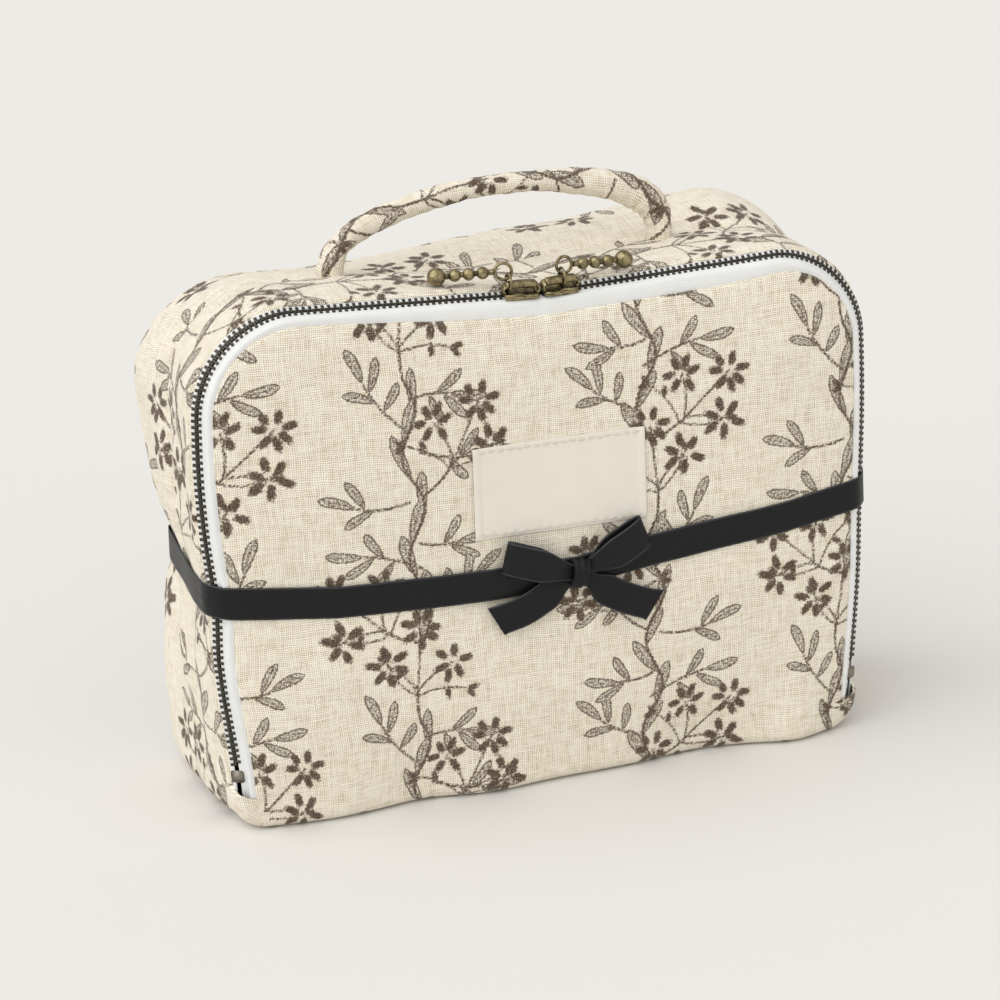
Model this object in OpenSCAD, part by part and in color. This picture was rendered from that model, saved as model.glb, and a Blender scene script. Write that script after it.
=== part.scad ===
// Soft zip-around makeup bag: padded shell, front flap, carry handle, two-slider zip and gift ribbon.
// Millimetres. Origin at the middle of the base, on the surface it stands on. +Z up, front towards -Y.

/* [Body] */
// Width of the bag, side to side
body_w = 260; // [220:1:300]
// Height of the bag at the middle of its top
body_h = 192; // [170:1:230]
// Rise of the top from its middle to its corners, as the zip sags
top_sag = 4; // [0:0.5:7]
// Depth of the bag, front to back
body_d = 85; // [75:1:110]
// Radius of the two top corners
top_r = 38; // [30:1:45]
// Radius of the two bottom corners
bottom_r = 12; // [10:1:16]

/* [Layers] */
// Thickness of the outer gauze fabric
fabric_t = 0.8; // [0.5:0.1:1]
// Thickness of the quilted foam
foam_t = 2.5; // [2:0.1:3]
// Thickness of the lining fabric
lining_t = 0.5; // [0.4:0.1:0.6]

/* [Zip] */
// Lean of the zip towards the front, from facing straight outwards
zip_lean = 25; // [20:1:30]
// Distance of the chain's centre line inside the bag's outline
zip_inset = 3; // [3:0.1:3.5]
// Distance of the chain's centre line behind the front face
zip_set_back = 5; // [5:0.1:6]
// Distance between one tooth and the next on the same tape
tooth_pitch = 2.3; // [2.2:0.1:3]
// Height of the fold that the front flap hinges on
hinge_z = 13; // [13:0.5:16]

/* [Handle] */
// Distance between the handle's two feet
handle_span = 128; // [110:1:140]
// Rise of the handle's centre line above its feet
handle_rise = 24; // [18:1:30]
// Outer radius of the handle's tube
handle_r = 3.8; // [3.5:0.1:4.5]

/* [Trim] */
// Diameter of the ball at the end of a pull
ball_d = 6.8; // [6:0.1:7]
// Width of the ribbon
ribbon_w = 12; // [10:0.5:15]
// Width of the woven label
label_w = 67; // [55:1:80]
// Height of the woven label
label_h = 35; // [30:1:38]

/* [Hidden] */

cream = [0.90, 0.85, 0.76];
lining_cream = [0.95, 0.93, 0.88];
foam_white = [0.97, 0.96, 0.93];
tape_white = [0.94, 0.94, 0.93];
gunmetal = [0.25, 0.24, 0.22];
old_brass = [0.42, 0.37, 0.22];
charcoal = [0.17, 0.17, 0.18];

gap = 0.05;                 // air between two layers
half_w = body_w / 2;
front_y = -body_d / 2;
back_y = body_d / 2;
foam_i = fabric_t + gap;    // inset of the foam's outer face
lining_i = foam_i + foam_t + gap;
inner_i = lining_i + lining_t;
arc_steps = 12;             // segments of a quarter circle in the outlines
run_w = half_w - top_r;     // each half of the top is a straight run, tilted up towards its corner
run_tilt = atan(top_sag / run_w);
run_l = run_w / cos(run_tilt);
corner_z = body_h + top_sag - top_r;

gusset_edge_y = front_y + 9.5;    // front edge of the gusset's fabric
padding_edge_y = front_y + 11;    // front edge of its foam and lining
mid_seam_y = 3;                   // seam between the gusset's two strips
flap_i = 10;                      // inset of the front panel, beside the zip tape
slit = 0.6;                       // gap on each side of the flap's fold

chain_y = front_y + zip_set_back;
chain_z = body_h - zip_inset;
tape_t = 0.5;
tape_from = 2.05;                 // edge of the tape, from the chain's centre line
tape_bend = 4.4;
tooth_l = 1.2;
tooth_t = 1.4;
tooth_from = 0.35;                // the rows leave a channel for the sliders' dividers
tooth_to = 2;                     // both from the chain's centre line
stop_top = hinge_z + 4;
zip_from = stop_top + 0.6;        // lower end of the tapes and the rows of teeth
run_gap = 0.7;                    // between the straight run of a tape and its corner
nose_gap = 3.6;                   // half of the toothless stretch where the sliders meet

axle_z = body_h + handle_span / 2 * tan(run_tilt) + handle_r + 0.3; // the handle's tilt axis
handle_arc_r = (pow(handle_span / 2, 2) + pow(handle_rise, 2)) / (2 * handle_rise);
handle_half_angle = asin(handle_span / 2 / handle_arc_r);
handle_trim = handle_r / handle_arc_r * 180 / PI + 0.2;

slider_l = 14;
slider_gap = 0.3;                 // half of the gap between the two noses
nose_w = 8.6;
tail_w = 7.4;
plate_z = [1.05, 2.15];
divider_t = 0.4;                  // the web that joins a slider's plates
bail_x = [1.3, 14.8];
bar_z = 5.6;                      // height of the bail's bar above the chain
bar_half = [1.2, 0.95];           // half of its depth and of its height
link_x = [12.2, 8.5];              // where the left and the right link hang on their bails
link_r = 3.0;
link_wire = 0.5;
link_lean = 45;
ring_r = 3.0;
ring_wire = 0.6;
bar_y = chain_y - bar_z * sin(zip_lean);
bar_top_z = chain_z + bar_z * cos(zip_lean);
link_y = bar_y + 0.7 * cos(link_lean);
link_z = bar_top_z + 0.7 * sin(link_lean);
ring_reach = 1.5;                 // from the link's plane to the ring's centre
ring_y = link_y + 1.3;
ring_z = link_z + 3.6;
pull_turn = [18, 5];              // how far the left and the right pull point to the back
bead_r = 2.3;
bead_pitch = 5;
collar_r = 1;
pull_slope = 5;                   // the pulls slope down to rest their ball on the top

ribbon_t = 0.35;
ribbon_y = front_y - 1.9;         // the ribbon's front run clears the sliders as it lifts off
ribbon_side = 0.3;                // gap between the ribbon and the gusset
ribbon_left_z = 0.470 * body_h;
ribbon_knot_z = 0.4385 * body_h;
ribbon_right_z = 0.5105 * body_h;
knot_x = 8;
label_pos = [3, 0.6195 * body_h];

// A quarter circle's points about c, from angle a0 to a1
function arc(c, r, a0, a1) =
    [for (k = [0 : arc_steps]) let (a = a0 + (a1 - a0) * k / arc_steps)
        c + r * [cos(a), sin(a)]];

// The arch of the bag's outline at inset i: up the left side, over the top, down the right side to z0
function arch(i, z0) = concat(
    [[i - half_w, z0]],
    arc([top_r - half_w, corner_z], top_r - i, 180, 90),
    [[0, body_h - i]],
    arc([half_w - top_r, corner_z], top_r - i, 90, 0),
    [[half_w - i, z0]]);

// The bottom of the outline at inset i, from z1 on the right side, under, to z1 on the left side
function tray(i, z1) = concat(
    [[half_w - i, z1]],
    arc([half_w - bottom_r, bottom_r], bottom_r - i, 0, -90),
    arc([bottom_r - half_w, bottom_r], bottom_r - i, 270, 180),
    [[i - half_w, z1]]);

function reversed(v) = [for (k = [len(v) - 1 : -1 : 0]) v[k]];

// Extrude an outline of the XZ plane from y0 to y1
module depth_slab(y0, y1) {
    translate([0, y1, 0]) rotate([90, 0, 0]) linear_extrude(y1 - y0) children();
}

module full_slab(i, y0, y1) {
    depth_slab(y0, y1) polygon(concat(arch(i, bottom_r), tray(i, bottom_r)));
}

module arch_wall(i0, i1, y0, y1) {
    depth_slab(y0, y1) polygon(concat(arch(i0, bottom_r + gap), reversed(arch(i1, bottom_r + gap))));
}

module tray_wall(i0, i1, y0, y1) {
    depth_slab(y0, y1) polygon(concat(tray(i0, bottom_r), reversed(tray(i1, bottom_r))));
}

// Tilt children with one half of the top, about the middle of the bag
module on_run(side) {
    mirror([side < 0 ? 1 : 0, 0, 0]) translate([0, 0, body_h]) rotate([0, -run_tilt, 0])
        translate([0, 0, -body_h]) children();
}

// Sweep a profile of [inset, y] points up one side, round the top and down the other side
module arch_sweep(profile, z0) {
    side = [for (p = profile) [half_w - p[0], p[1]]];
    for (m = [-1, 1]) {
        mirror([m < 0 ? 1 : 0, 0, 0]) {
            translate([0, 0, z0]) linear_extrude(corner_z - z0) polygon(side);
            translate([half_w - top_r, 0, corner_z]) rotate([90, 0, 0])
                rotate_extrude(angle = 90, $fn = 96)
                    polygon([for (p = profile) [top_r - p[0], -p[1]]]);
        }
        on_run(m) translate([0, 0, body_h]) rotate([90, 0, 90])
            linear_extrude(run_l - run_gap) polygon([for (p = profile) [p[1], -p[0]]]);
    }
}

// A point of the zip's cross-section: e across the chain towards the front, n out of it
function zip_point(e, n) = [
    zip_inset + e * sin(zip_lean) - n * cos(zip_lean),
    chain_y - e * cos(zip_lean) - n * sin(zip_lean)];

// Where tooth k of a tape is, in pitches; the two tapes are half a pitch apart
function tooth_at(k, offset) = k + 0.25 + offset / 2;

// Place children, drawn with X along the chain and Z out of it, at every tooth of one tape
module along_chain(offset) {
    side_run = corner_z - zip_from;
    side_n = floor(side_run / tooth_pitch);
    corner_r = top_r - zip_inset;
    corner_n = floor(corner_r * PI / 2 / tooth_pitch);
    top_n = floor((run_l - nose_gap) / tooth_pitch);
    for (m = [-1, 1]) {
        mirror([m < 0 ? 1 : 0, 0, 0]) {
            for (k = [0 : side_n - 1])
                translate([half_w - zip_inset, chain_y, zip_from + tooth_pitch * tooth_at(k, offset)])
                    rotate([0, 90, 0]) rotate([zip_lean, 0, 0]) children();
            translate([half_w - top_r, chain_y, corner_z])
                for (k = [0 : corner_n - 1])
                    rotate([0, 90 - 90 * tooth_at(k, offset) / corner_n, 0])
                        translate([0, 0, corner_r]) rotate([zip_lean, 0, 0]) children();
        }
        on_run(m) for (k = [0 : top_n - 1])
            translate([nose_gap + tooth_pitch * tooth_at(k, offset), chain_y, chain_z])
                rotate([zip_lean, 0, 0]) children();
    }
}

module tooth(side) {
    translate([-tooth_l / 2, side > 0 ? tooth_from : -tooth_to, -tooth_t / 2])
        cube([tooth_l, tooth_to - tooth_from, tooth_t]);
}

module on_slider(side) {
    on_run(side) translate([0, chain_y, chain_z]) rotate([zip_lean, 0, 0]) children();
}

module slider_plate(z0, z1) {
    x0 = slider_gap;
    x1 = slider_gap + slider_l;
    translate([0, 0, z0]) linear_extrude(z1 - z0) polygon([
        [x0, -nose_w / 2 + 1], [x0 + 1, -nose_w / 2], [x0 + 4, -nose_w / 2], [x1 - 1.5, -tail_w / 2],
        [x1, -tail_w / 2 + 1.5], [x1, tail_w / 2 - 1.5], [x1 - 1.5, tail_w / 2], [x0 + 4, nose_w / 2],
        [x0 + 1, nose_w / 2], [x0, nose_w / 2 - 1]]);
}

module slider(side) {
    color(old_brass) on_slider(side) {
        slider_plate(plate_z[0], plate_z[1]);
        slider_plate(-plate_z[1], -plate_z[0]);
        translate([slider_gap + 0.2, -divider_t / 2, -plate_z[0]]) cube([2.4, divider_t, 2 * plate_z[0]]);
        for (y = [-1, 1], z = [-1, 1])
            translate([slider_gap + 8.5, y * 3.4 - 0.25, z * 0.8 - 0.3]) cube([5, 0.5, 0.6]);
    }
}

module slider_bail(side) {
    low = plate_z[1] + 0.02;
    color(old_brass) on_slider(side)
        translate([0, bar_half[0], 0]) rotate([90, 0, 0]) linear_extrude(2 * bar_half[0])
            polygon([
                [bail_x[0], low], [bail_x[0], bar_z - 0.2], [bail_x[0] + 1.2, bar_z + bar_half[1]],
                [bail_x[1] - 1.2, bar_z + bar_half[1]], [bail_x[1], bar_z - 0.2],
                [bail_x[1], low], [bail_x[1] - 1.5, low], [bail_x[1] - 1.5, bar_z - bar_half[1]],
                [bail_x[0] + 1.5, bar_z - bar_half[1]], [bail_x[0] + 1.5, low]]);
}

module torus(r, wire) {
    rotate_extrude($fn = 64) translate([r, 0]) circle(wire, $fn = 24);
}

function of_side(pair, side) = side < 0 ? pair[0] : pair[1];

module link(side) {
    color(old_brass) on_run(side) translate([of_side(link_x, side), link_y, link_z])
        rotate([0, 90, 0]) torus(link_r, link_wire);
}

// Half of the outline of a ball of radius r at distance c along the row of beads
function bead_arc(c, r) = arc_of(c, r, 180 - asin(collar_r / r), asin(collar_r / r));

function arc_of(c, r, a0, a1) =
    [for (k = [0 : arc_steps]) let (a = a0 + (a1 - a0) * k / arc_steps) [r * sin(a), c + r * cos(a)]];

// One casting: ring, short collars, three beads and the end ball, in a row along X
module pull(side) {
    first = ring_r + 4.4;
    ball_x = first + 2 * bead_pitch + bead_r + ball_d / 2 + 0.9;
    color(old_brass) on_run(side) translate([of_side(link_x, side), ring_y, ring_z])
        rotate([0, 0, of_side(pull_turn, side)]) translate([ring_reach, 0, 0]) rotate([0, pull_slope, 0]) {
            rotate([90, 0, 0]) torus(ring_r, ring_wire);
            rotate([0, 90, 0]) rotate_extrude($fn = 48) polygon(concat(
                [[0, ring_r + ring_wire - 0.1], [collar_r, ring_r + ring_wire - 0.1]],
                [for (k = [0 : 2]) each bead_arc(first + k * bead_pitch, bead_r)],
                arc_of(ball_x, ball_d / 2, 180 - asin(collar_r * 2 / ball_d), 0)));
        }
}

module back_panel() { color(cream) full_slab(0, back_y - fabric_t, back_y); }

module back_foam() { color(foam_white) full_slab(foam_i, back_y - lining_i + gap, back_y - foam_i); }

module back_lining() { color(lining_cream) full_slab(lining_i, back_y - inner_i, back_y - lining_i); }

module gusset_rear() { color(cream) arch_wall(0, fabric_t, mid_seam_y + gap, back_y - foam_i); }

module gusset_front() { color(cream) arch_wall(0, fabric_t, gusset_edge_y, mid_seam_y); }

module gusset_foam() {
    color(foam_white) arch_wall(foam_i, foam_i + foam_t, padding_edge_y, back_y - lining_i);
}

module gusset_lining() {
    color(lining_cream) arch_wall(lining_i, inner_i, padding_edge_y, back_y - inner_i - gap);
}

module base_panel() { color(cream) tray_wall(0, fabric_t, front_y + foam_i, back_y - foam_i); }

module base_foam() {
    color(foam_white) tray_wall(foam_i, foam_i + foam_t, front_y + lining_i, back_y - lining_i);
}

module base_lining() {
    color(lining_cream)
        tray_wall(lining_i, inner_i, front_y + inner_i + gap, back_y - inner_i - gap);
}

// The strip of the front below the fold, which stays with the base
module foot_slab(i, y0, y1, z1) {
    depth_slab(y0, y1) polygon(concat([[half_w - i, z1]], tray(i, bottom_r), [[i - half_w, z1]]));
}

module front_foot() { color(cream) foot_slab(0, front_y, front_y + fabric_t, hinge_z - slit); }

module front_foot_foam() {
    color(foam_white)
        foot_slab(foam_i, front_y + foam_i, front_y + foam_i + foam_t, hinge_z - slit);
}

// The rolled edge of fabric that the flap turns about
module hinge_fold() {
    fold_w = body_w - 2 * flap_i - 4;
    color(cream) translate([-fold_w / 2, front_y, hinge_z]) rotate([0, 90, 0])
        cylinder(h = fold_w, r = 0.45, $fn = 24);
}

// A folded tape over the raw edges of the back's seam, inside the bag
module back_binding() {
    y1 = back_y - inner_i - gap;
    color(lining_cream)
        depth_slab(y1 - 6, y1)
            polygon(concat(arch(inner_i + gap, bottom_r + 1), reversed(arch(inner_i + 0.9, bottom_r + 1))));
}

// A slip pocket on the inside of the back, sewn down at its sides and foot
module pocket_panel() {
    w = body_w - 60;
    h = 92;
    y1 = back_y - inner_i - gap;
    color(lining_cream) difference() {
        translate([-w / 2, y1 - 2.6, 20]) cube([w, 2.6, h]);
        translate([-w / 2 + 3, y1 - 2, 23]) cube([w - 6, 3, h]);
    }
}

module pocket_hem() {
    w = body_w - 66;
    y1 = back_y - inner_i - gap;
    color(tape_white) translate([-w / 2 + 3, y1 - 3.2, 102]) cube([w - 6, 0.5, 9.5]);
}

module zip_tape_rear() {
    half = tape_t / 2;
    tuck = foam_i + 0.15;
    color(tape_white) arch_sweep([
        zip_point(-tape_from, half), zip_point(-tape_bend - 0.1, half),
        [tuck, padding_edge_y - 0.1], [tuck + tape_t, padding_edge_y - 0.1],
        zip_point(-tape_bend + 0.1, -half), zip_point(-tape_from, -half)], zip_from);
}

module zip_tape_front() {
    half = tape_t / 2;
    edge = flap_i - 0.1;
    color(tape_white) arch_sweep([
        zip_point(tape_from, half), zip_point(tape_bend, half),
        [6.3, front_y], [edge, front_y], [edge, front_y + tape_t], [6.5, front_y + tape_t],
        zip_point(tape_bend, -half), zip_point(tape_from, -half)], zip_from);
}

module zip_teeth_rear() { color(gunmetal) along_chain(0) tooth(1); }

module zip_teeth_front() { color(gunmetal) along_chain(1) tooth(-1); }

// The metal box that closes the zip's lower end
module zip_stop(side) {
    color(gunmetal) mirror([side < 0 ? 1 : 0, 0, 0])
        translate([half_w - zip_inset, chain_y, hinge_z]) rotate([0, 0, -90 + zip_lean])
            translate([-2.6, -1.1, 0]) cube([5.2, 2.2, stop_top - hinge_z]);
}

module flap_slab(i, y0, y1) {
    depth_slab(y0, y1) polygon(arch(i, hinge_z + slit));
}

module front_panel() { color(cream) flap_slab(flap_i, front_y, front_y + fabric_t); }

module front_foam() {
    color(foam_white) flap_slab(flap_i, front_y + foam_i, front_y + foam_i + foam_t);
}

module front_lining() {
    color(lining_cream) flap_slab(flap_i, front_y + lining_i, front_y + inner_i);
}

module front_binding() {
    color(lining_cream) depth_slab(front_y + foam_i, front_y + inner_i + 0.4)
        polygon(concat(arch(flap_i - 1.3, zip_from), reversed(arch(flap_i - gap, zip_from))));
}

module label() {
    color([0.93, 0.90, 0.84]) translate([label_pos[0] - label_w / 2, front_y - 0.35,
        label_pos[1] - label_h / 2]) cube([label_w, 0.3, label_h]);
}

module label_stitches() {
    pitch = 4.4;
    n = floor((label_w - 4) / pitch);
    color(lining_cream) for (k = [0 : n - 1], s = [-1, 1])
        translate([label_pos[0] - n * pitch / 2 + k * pitch, front_y - 0.6,
            label_pos[1] + s * (label_h / 2 - 2) - 0.25]) cube([3.2, 0.24, 0.5]);
}

// A tube along the handle's arch
module handle_arch(trim) {
    half = handle_half_angle - trim;
    translate([0, 0, axle_z + handle_rise - handle_arc_r]) rotate([90, 0, 0])
        rotate([0, 0, 90 - half]) rotate_extrude(angle = 2 * half, $fn = 180) children();
}

module handle_cover() {
    color(cream) handle_arch(handle_trim) translate([handle_arc_r, 0]) difference() {
        circle(handle_r, $fn = 40);
        circle(handle_r - 1.4, $fn = 40);
    }
}

module handle_cord() {
    color(foam_white) handle_arch(handle_trim) translate([handle_arc_r, 0])
        circle(handle_r - 1.5, $fn = 32);
}

module handle_foot(side) {
    color(cream) translate([side * handle_span / 2, 0, axle_z]) sphere(handle_r - 0.1, $fn = 48);
}

// The ribbon's runs: front left, front right, the two sides and the back
module ribbon_run(x0, x1, z0, z1, y0, y1) {
    depth_slab(y0, y1) polygon([
        [x0, z0 - ribbon_w / 2], [x1, z1 - ribbon_w / 2], [x1, z1 + ribbon_w / 2],
        [x0, z0 + ribbon_w / 2]]);
}

module ribbon_band() {
    side_x = half_w + ribbon_side;
    out_x = side_x + ribbon_t;
    rear_y = back_y + ribbon_side;
    color(charcoal) {
        ribbon_run(-out_x, knot_x, ribbon_left_z, ribbon_knot_z, ribbon_y - ribbon_t, ribbon_y);
        ribbon_run(knot_x, out_x, ribbon_knot_z, ribbon_right_z, ribbon_y - ribbon_t, ribbon_y);
        for (s = [-1, 1])
            translate([s < 0 ? -out_x : side_x, ribbon_y, (s < 0 ? ribbon_left_z : ribbon_right_z)
                - ribbon_w / 2]) cube([ribbon_t, rear_y - ribbon_y, ribbon_w]);
        ribbon_run(-out_x, out_x, ribbon_left_z, ribbon_right_z, rear_y, rear_y + ribbon_t);
    }
}

module at_knot(dy) {
    translate([knot_x, ribbon_y - ribbon_t - gap - dy, ribbon_knot_z]) children();
}

module bow_knot() {
    color(charcoal) at_knot(0) rotate([90, 0, 0]) linear_extrude(5)
        polygon([[-4, -4.5], [4, -5], [4.6, 0], [3.6, 5], [-3.6, 4.6], [-4.4, 0]]);
}

// A loop of ribbon lying on its side: outer leaf and inner leaf joined at the far end
module bow_loop(side) {
    far = 27;
    color(charcoal) at_knot(0.6) rotate([0, side * -14, 0]) mirror([side < 0 ? 1 : 0, 0, 0])
        translate([0, 0, -ribbon_w / 2]) linear_extrude(ribbon_w) polygon([
            [5.2, 0], [far - 2, 0], [far, -2.2], [far - 1, -4.6], [far - 4, -5.2], [5.2, -3.6],
            [5.2, -3.2], [far - 4, -4.7], [far - 1.6, -4.2], [far - 0.6, -2.2], [far - 2.2, -0.5],
            [5.2, -0.5]]);
}

module bow_tail(side) {
    far = 31;
    color(charcoal) at_knot(0) rotate([0, side < 0 ? -31 : 17, 0])
        mirror([side < 0 ? 1 : 0, 0, 0]) rotate([90, 0, 0]) linear_extrude(0.4)
            polygon([[5.4, -ribbon_w / 2], [far - 2, -ribbon_w / 2], [far + 2, ribbon_w / 2],
                [5.4, ribbon_w / 2]]);
}

back_panel();
back_foam();
back_lining();
gusset_rear();
gusset_front();
gusset_foam();
gusset_lining();
base_panel();
base_foam();
base_lining();
front_foot();
front_foot_foam();
hinge_fold();
back_binding();
pocket_panel();
pocket_hem();
zip_tape_rear();
zip_teeth_rear();
zip_stop(-1);  // zip_stop_left
zip_stop(1);  // zip_stop_right
front_panel();
front_foam();
front_lining();
front_binding();
zip_tape_front();
zip_teeth_front();
label();
label_stitches();
handle_cover();
handle_cord();
handle_foot(-1);  // handle_foot_left
handle_foot(1);  // handle_foot_right
slider(-1);  // slider_left
slider(1);  // slider_right
slider_bail(-1);  // slider_bail_left
slider_bail(1);  // slider_bail_right
link(-1);  // link_left
link(1);  // link_right
pull(-1);  // pull_left
pull(1);  // pull_right
ribbon_band();
bow_knot();
bow_loop(-1);  // bow_loop_left
bow_loop(1);  // bow_loop_right
bow_tail(-1);  // bow_tail_left
bow_tail(1);  // bow_tail_right
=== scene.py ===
import math

import bmesh
import bpy
import numpy as np
from mathutils import Matrix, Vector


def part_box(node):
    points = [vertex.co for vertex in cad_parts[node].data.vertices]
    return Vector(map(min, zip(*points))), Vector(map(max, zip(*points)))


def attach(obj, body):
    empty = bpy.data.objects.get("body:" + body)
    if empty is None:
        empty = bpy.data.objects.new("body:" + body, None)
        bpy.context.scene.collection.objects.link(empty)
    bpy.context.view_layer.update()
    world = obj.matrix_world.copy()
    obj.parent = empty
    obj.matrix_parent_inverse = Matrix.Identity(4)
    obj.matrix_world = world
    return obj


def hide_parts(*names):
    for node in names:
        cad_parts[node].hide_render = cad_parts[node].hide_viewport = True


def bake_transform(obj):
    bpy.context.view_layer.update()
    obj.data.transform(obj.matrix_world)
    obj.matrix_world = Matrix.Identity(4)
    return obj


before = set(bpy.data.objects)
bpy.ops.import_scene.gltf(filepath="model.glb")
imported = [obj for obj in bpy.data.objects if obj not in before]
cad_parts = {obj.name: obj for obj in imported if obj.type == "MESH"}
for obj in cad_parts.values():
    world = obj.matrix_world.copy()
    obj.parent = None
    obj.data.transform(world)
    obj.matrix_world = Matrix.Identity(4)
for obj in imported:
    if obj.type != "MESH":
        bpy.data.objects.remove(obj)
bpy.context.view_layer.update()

# Shapes are worked out in millimetres and scaled to metres when a mesh is made.
MM = 0.001


def box_mm(node):
    """The low and high corners of a CAD node's box, in millimetres."""
    low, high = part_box(node)
    return np.array(low) / MM, np.array(high) / MM


# ---- Driving dimensions, from the frame ----
back_high = box_mm("back_panel")[1]
front_low = box_mm("front_panel")[0]
foot_high = box_mm("front_foot")[1]
label_low, label_high = box_mm("label")

HALF_W = back_high[0]
CORNER_TOP = back_high[2]
BACK_Y = back_high[1]
FRONT_Y = front_low[1]
TOP_SAG = 4.0
BODY_H = CORNER_TOP - TOP_SAG
TOP_R = 38.0
BOTTOM_R = 12.0
CORNER_X = HALF_W - TOP_R
CORNER_Z = CORNER_TOP - TOP_R
TOP_SLOPE = math.atan(TOP_SAG / CORNER_X)
HINGE_Z = foot_high[2] + 0.6
EDGE_R = 5.0                  # rounding between the front and the base
CHAIN_INSET = 3.0
CHAIN_Y = FRONT_Y + 5.0
ZIP_FROM = HINGE_Z + 4.6
CHAIN_LEAN = 25               # degrees, along the top
TOOTH_PITCH = 2.3
GUSSET_Y = FRONT_Y + 7.5
SEAM_Y = 3.0
REAR_R = 3.5                  # rounding at the rear seam


# ---- Small numeric helpers ----
def smooth(x, low, high):
    """0 below low, 1 above high and an even rise between."""
    t = np.clip((x - low) / (high - low), 0, 1)
    return t * t * (3 - 2 * t)


def hump(x, centre, width):
    """A bell of height 1 round centre."""
    return np.exp(-(((x - centre) / width) ** 2))


def ripple(u, v, size, seed):
    """Smooth unevenness from about -1 to 1 over u, v, with lumps about size across."""
    total = 0
    for k in range(7):
        angle = seed * 1.7 + k * 2.4
        wave = 2 * math.pi / size * (0.6 + 0.13 * k)
        run = u * math.cos(angle) + v * math.sin(angle)
        total = total + np.sin(wave * run + seed * 3.1 + k * k)
    return total / 4.5


def resample(points, count):
    """count points at even spacing along a polyline."""
    points = np.asarray(points, float)
    steps = run_length(points)
    at = np.linspace(0, steps[-1], count)
    return np.stack([np.interp(at, steps, points[:, k]) for k in range(points.shape[1])], axis=1)


def curve_through(points, count):
    """A Catmull-Rom curve through points, resampled evenly."""
    points = np.asarray(points, float)
    padded = np.vstack([2 * points[0] - points[1], points, 2 * points[-1] - points[-2]])
    made = []
    for k in range(1, len(padded) - 2):
        a, b, c, d = padded[k - 1 : k + 3]
        t = np.linspace(0, 1, 24, endpoint=False)[:, None]
        square, cube = (2 * a - 5 * b + 4 * c - d) * t**2, (3 * b - a - 3 * c + d) * t**3
        made.append(0.5 * (2 * b + (c - a) * t + square + cube))
    made.append(points[-1:])
    return resample(np.vstack(made), count)


def unit(v):
    return v / np.maximum(np.linalg.norm(v, axis=-1, keepdims=True), 1e-9)


def xyz(x, y, z):
    """One array of points from three arrays or numbers that broadcast together."""
    return np.stack(np.broadcast_arrays(x, y, z), axis=-1)


def there_and_back(t):
    return np.concatenate([t, t[::-1]])


def rolled_in(distance, radius):
    """Depth of a rolled edge at a distance from the edge."""
    left = np.clip(radius - distance, 0, radius)
    return radius - np.sqrt(np.maximum(radius**2 - left**2, 0))


def run_length(points):
    """Distance along a polyline at each of its points, from 0."""
    return np.r_[0, np.cumsum(np.linalg.norm(np.diff(points, axis=0), axis=1))]


# ---- The bag's outline in the XZ plane ----
def arc_points(centre, radius, start, end, count=40):
    a = np.radians(np.linspace(start, end, count))
    return np.stack([centre[0] + radius * np.cos(a), centre[1] + radius * np.sin(a)], axis=1)


RIM_POINTS = 4001
TANGENT_SPAN = 12             # points to either side that give the outline's direction


def make_rim():
    """Points and outward normals from the middle of the base, up the left side, over and back."""
    left = np.vstack([
        [[0, 0]],
        arc_points((BOTTOM_R - HALF_W, BOTTOM_R), BOTTOM_R, 270, 180),
        arc_points((-CORNER_X, CORNER_Z), TOP_R, 180, 90 + math.degrees(TOP_SLOPE)),
        [[0, BODY_H]],
    ])
    right = left[::-1][1:] * [-1, 1]
    points = resample(np.vstack([left, right]), RIM_POINTS)
    ahead = np.roll(points, -TANGENT_SPAN, axis=0) - np.roll(points, TANGENT_SPAN, axis=0)
    ahead[:TANGENT_SPAN] = ahead[-TANGENT_SPAN:] = [-1, 0]
    tangent = unit(ahead)
    normal = np.stack([-tangent[:, 1], tangent[:, 0]], axis=1)
    return points, normal, run_length(points)


RIM, RIM_NORMAL, RIM_S = make_rim()
RIM_LENGTH = RIM_S[-1]


def rim_at(s, inset):
    """Points of the outline at distance s along it, moved in by inset."""
    point, normal = (
        np.stack([np.interp(s, RIM_S, line[:, k]) for k in range(2)], axis=-1) for line in (RIM, RIM_NORMAL)
    )
    return point - np.asarray(inset)[..., None] * unit(normal)


def off_rim(s, inset, y):
    """Points in space at distance s along the outline, moved in by inset, at depth y."""
    x, z = np.moveaxis(rim_at(s, inset), -1, 0)
    return xyz(x, y, z)


def s_at_height(z):
    """Distance along the rim where the left side passes height z."""
    rising = RIM_S < RIM_LENGTH * 0.3
    return float(np.interp(z, RIM[rising, 1], RIM_S[rising]))


QUARTER = len(RIM) // 4
S_FOOT = float(np.interp(HALF_W - BOTTOM_R, -RIM[:QUARTER, 0], RIM_S[:QUARTER]))
S_ZIP = s_at_height(ZIP_FROM)
S_TEETH = s_at_height(ZIP_FROM + 7.0)


def edge_distance(x, z, inset):
    """How far a point of the front lies inside the outline moved in by inset, its base left open."""
    ax = np.abs(x)
    side = HALF_W - inset - ax
    top = (BODY_H + TOP_SAG * ax / CORNER_X - inset - z) * math.cos(TOP_SLOPE)
    corner = TOP_R - inset - np.hypot(ax - CORNER_X, z - CORNER_Z)
    in_corner = (ax > CORNER_X) & (z > CORNER_Z)
    return np.where(in_corner, corner, np.minimum(side, top))


# ---- How the soft body settles out of its square shape ----
FOOT_WANDER = [(3.6, 58, 20), (2.2, -53, 13), (-2.4, -24, 16), (-4.0, 100, 15), (-1.4, -88, 16)]


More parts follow.
